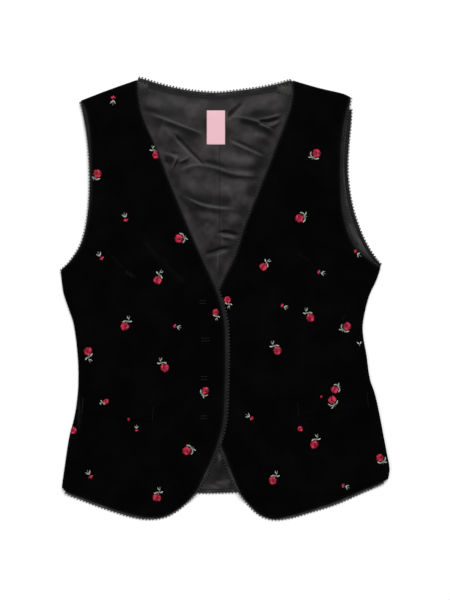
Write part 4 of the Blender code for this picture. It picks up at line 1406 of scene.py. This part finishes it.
def weltStitches(side):
    corners = np.array(weltShape[side])
    stitches = []
    for (first, last), shade in zip(((0, 3), (1, 2)), weltEnds[side]):
        line = evenly(corners[[first, last]], 2.0)
        inward = corners[1 - first] - corners[first]
        line = line + inward / np.linalg.norm(inward) * 1.6
        stitches += [(start, stop, shade, 0.0) for start, stop in zip(line[:-1], line[1:])]
    return stitches


def seamStitches():
    stitches, x, y = [], liningCloth["seamX"], sewing["seamFrom"]
    while y > sewing["seamTo"]:
        stitches.append((np.array([x, y]), np.array([x - 0.1, y - sewing["seamStitch"]]), 0.9, 0.0))
        y -= sewing["seamStitch"] + sewing["seamGap"]
    return stitches


def onLining(points):
    return liningTop(points) + 0.1


hooks = stitchPiece("hook_marks", hookStitches(), above(rightEdges, frontCloth["clear"]), blackThread, sewing)
rightWeltSewing, leftWeltSewing = [
    stitchPiece(side + "_welt_sewing", weltStitches(side), above(edges, weltRise), blackThread, sewing)
    for side, edges in (("right", rightEdges), ("left", leftEdges))
]
seamSewing = stitchPiece("lining_seam_stitches", seamStitches(), onLining, blackThread, sewing)
print("sewing made")

# Riding and replacing
braidNodes = (
    "right_front_braid", "right_front_armhole_braid", "left_front_braid", "left_front_armhole_braid",
    "back_neck_braid", "back_hem_braid", "left_back_armhole_braid", "right_back_armhole_braid",
)
dressed = [
    (back, "velvet", "back"), (lining, "satin", "back_lining"), (rightFront, "velvet", "right_front"),
    (leftFront, "velvet", "left_front"), (rightWelt, "velvet", "right_welt"),
    (leftWelt, "velvet", "left_welt"), (label, "label", "label"),
]
braids = frontBraids["right"] + frontBraids["left"] + backBraids
dressed += [(piece, "braid", node) for piece, node in zip(braids, braidNodes)]
sewn = stitching["right"] + stitching["left"] + [hooks, rightWeltSewing, leftWeltSewing]
dressed += [(piece, "braid", None) for piece in sewn]
dressed += [(seamSewing, "satin", None), (braidFeet[0], "braid", None), (braidFeet[1], "braid", None)]
for piece, slotName, node in dressed:
    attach(piece, "root")
    if node:
        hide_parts(node)

# Floor, light and camera
studio = {"floor": (0.93, 0.93, 0.93, 1.0), "world": 0.36, "cameraHeight": 3.0, "lens": 187.5}
floorCorners = [(x, y, -0.0002) for x, y in ((-3, -3), (3, -3), (3, 3), (-3, 3))]
floor = newObject("floor", floorCorners, [], [(0, 1, 2, 3)])
paper = newMaterial("palePaper", {"Base Color": studio["floor"], "Roughness": 0.9, "Specular IOR Level": 0.1})
floor.data.materials.append(paper[0])

world = bpy.data.worlds.new("softRoom")
bpy.context.scene.world = world
world.use_nodes = True
sky = world.node_tree.nodes["Background"].inputs
sky["Color"].default_value = (1.0, 1.0, 1.0, 1.0)
sky["Strength"].default_value = studio["world"]


def addLight(name, place, target, size, power):
    data = bpy.data.lights.new(name, "AREA")
    data.shape, data.size, data.energy = "SQUARE", size, power
    lamp = bpy.data.objects.new(name, data)
    lamp.location = place
    lamp.rotation_euler = (Vector(target) - Vector(place)).to_track_quat("-Z", "Y").to_euler()
    bpy.context.scene.collection.objects.link(lamp)


addLight("keyLight", (0.7, 2.6, 3.7), (0.0, 0.0, 0.0), 3.6, 215.0)
addLight("fillLight", (-2.2, -0.8, 2.6), (0.0, 0.0, 0.0), 1.6, 22.0)

cameraData = bpy.data.cameras.new("camera")
cameraData.sensor_fit = "HORIZONTAL"
cameraData.sensor_width = 36.0
cameraData.lens = studio["lens"]
camera = bpy.data.objects.new("camera", cameraData)
camera.location = (-0.0001, -0.00034, studio["cameraHeight"])
bpy.context.scene.collection.objects.link(camera)
bpy.context.scene.camera = camera
bpy.context.scene.view_settings.view_transform = "Standard"
print("floor, light and camera set")
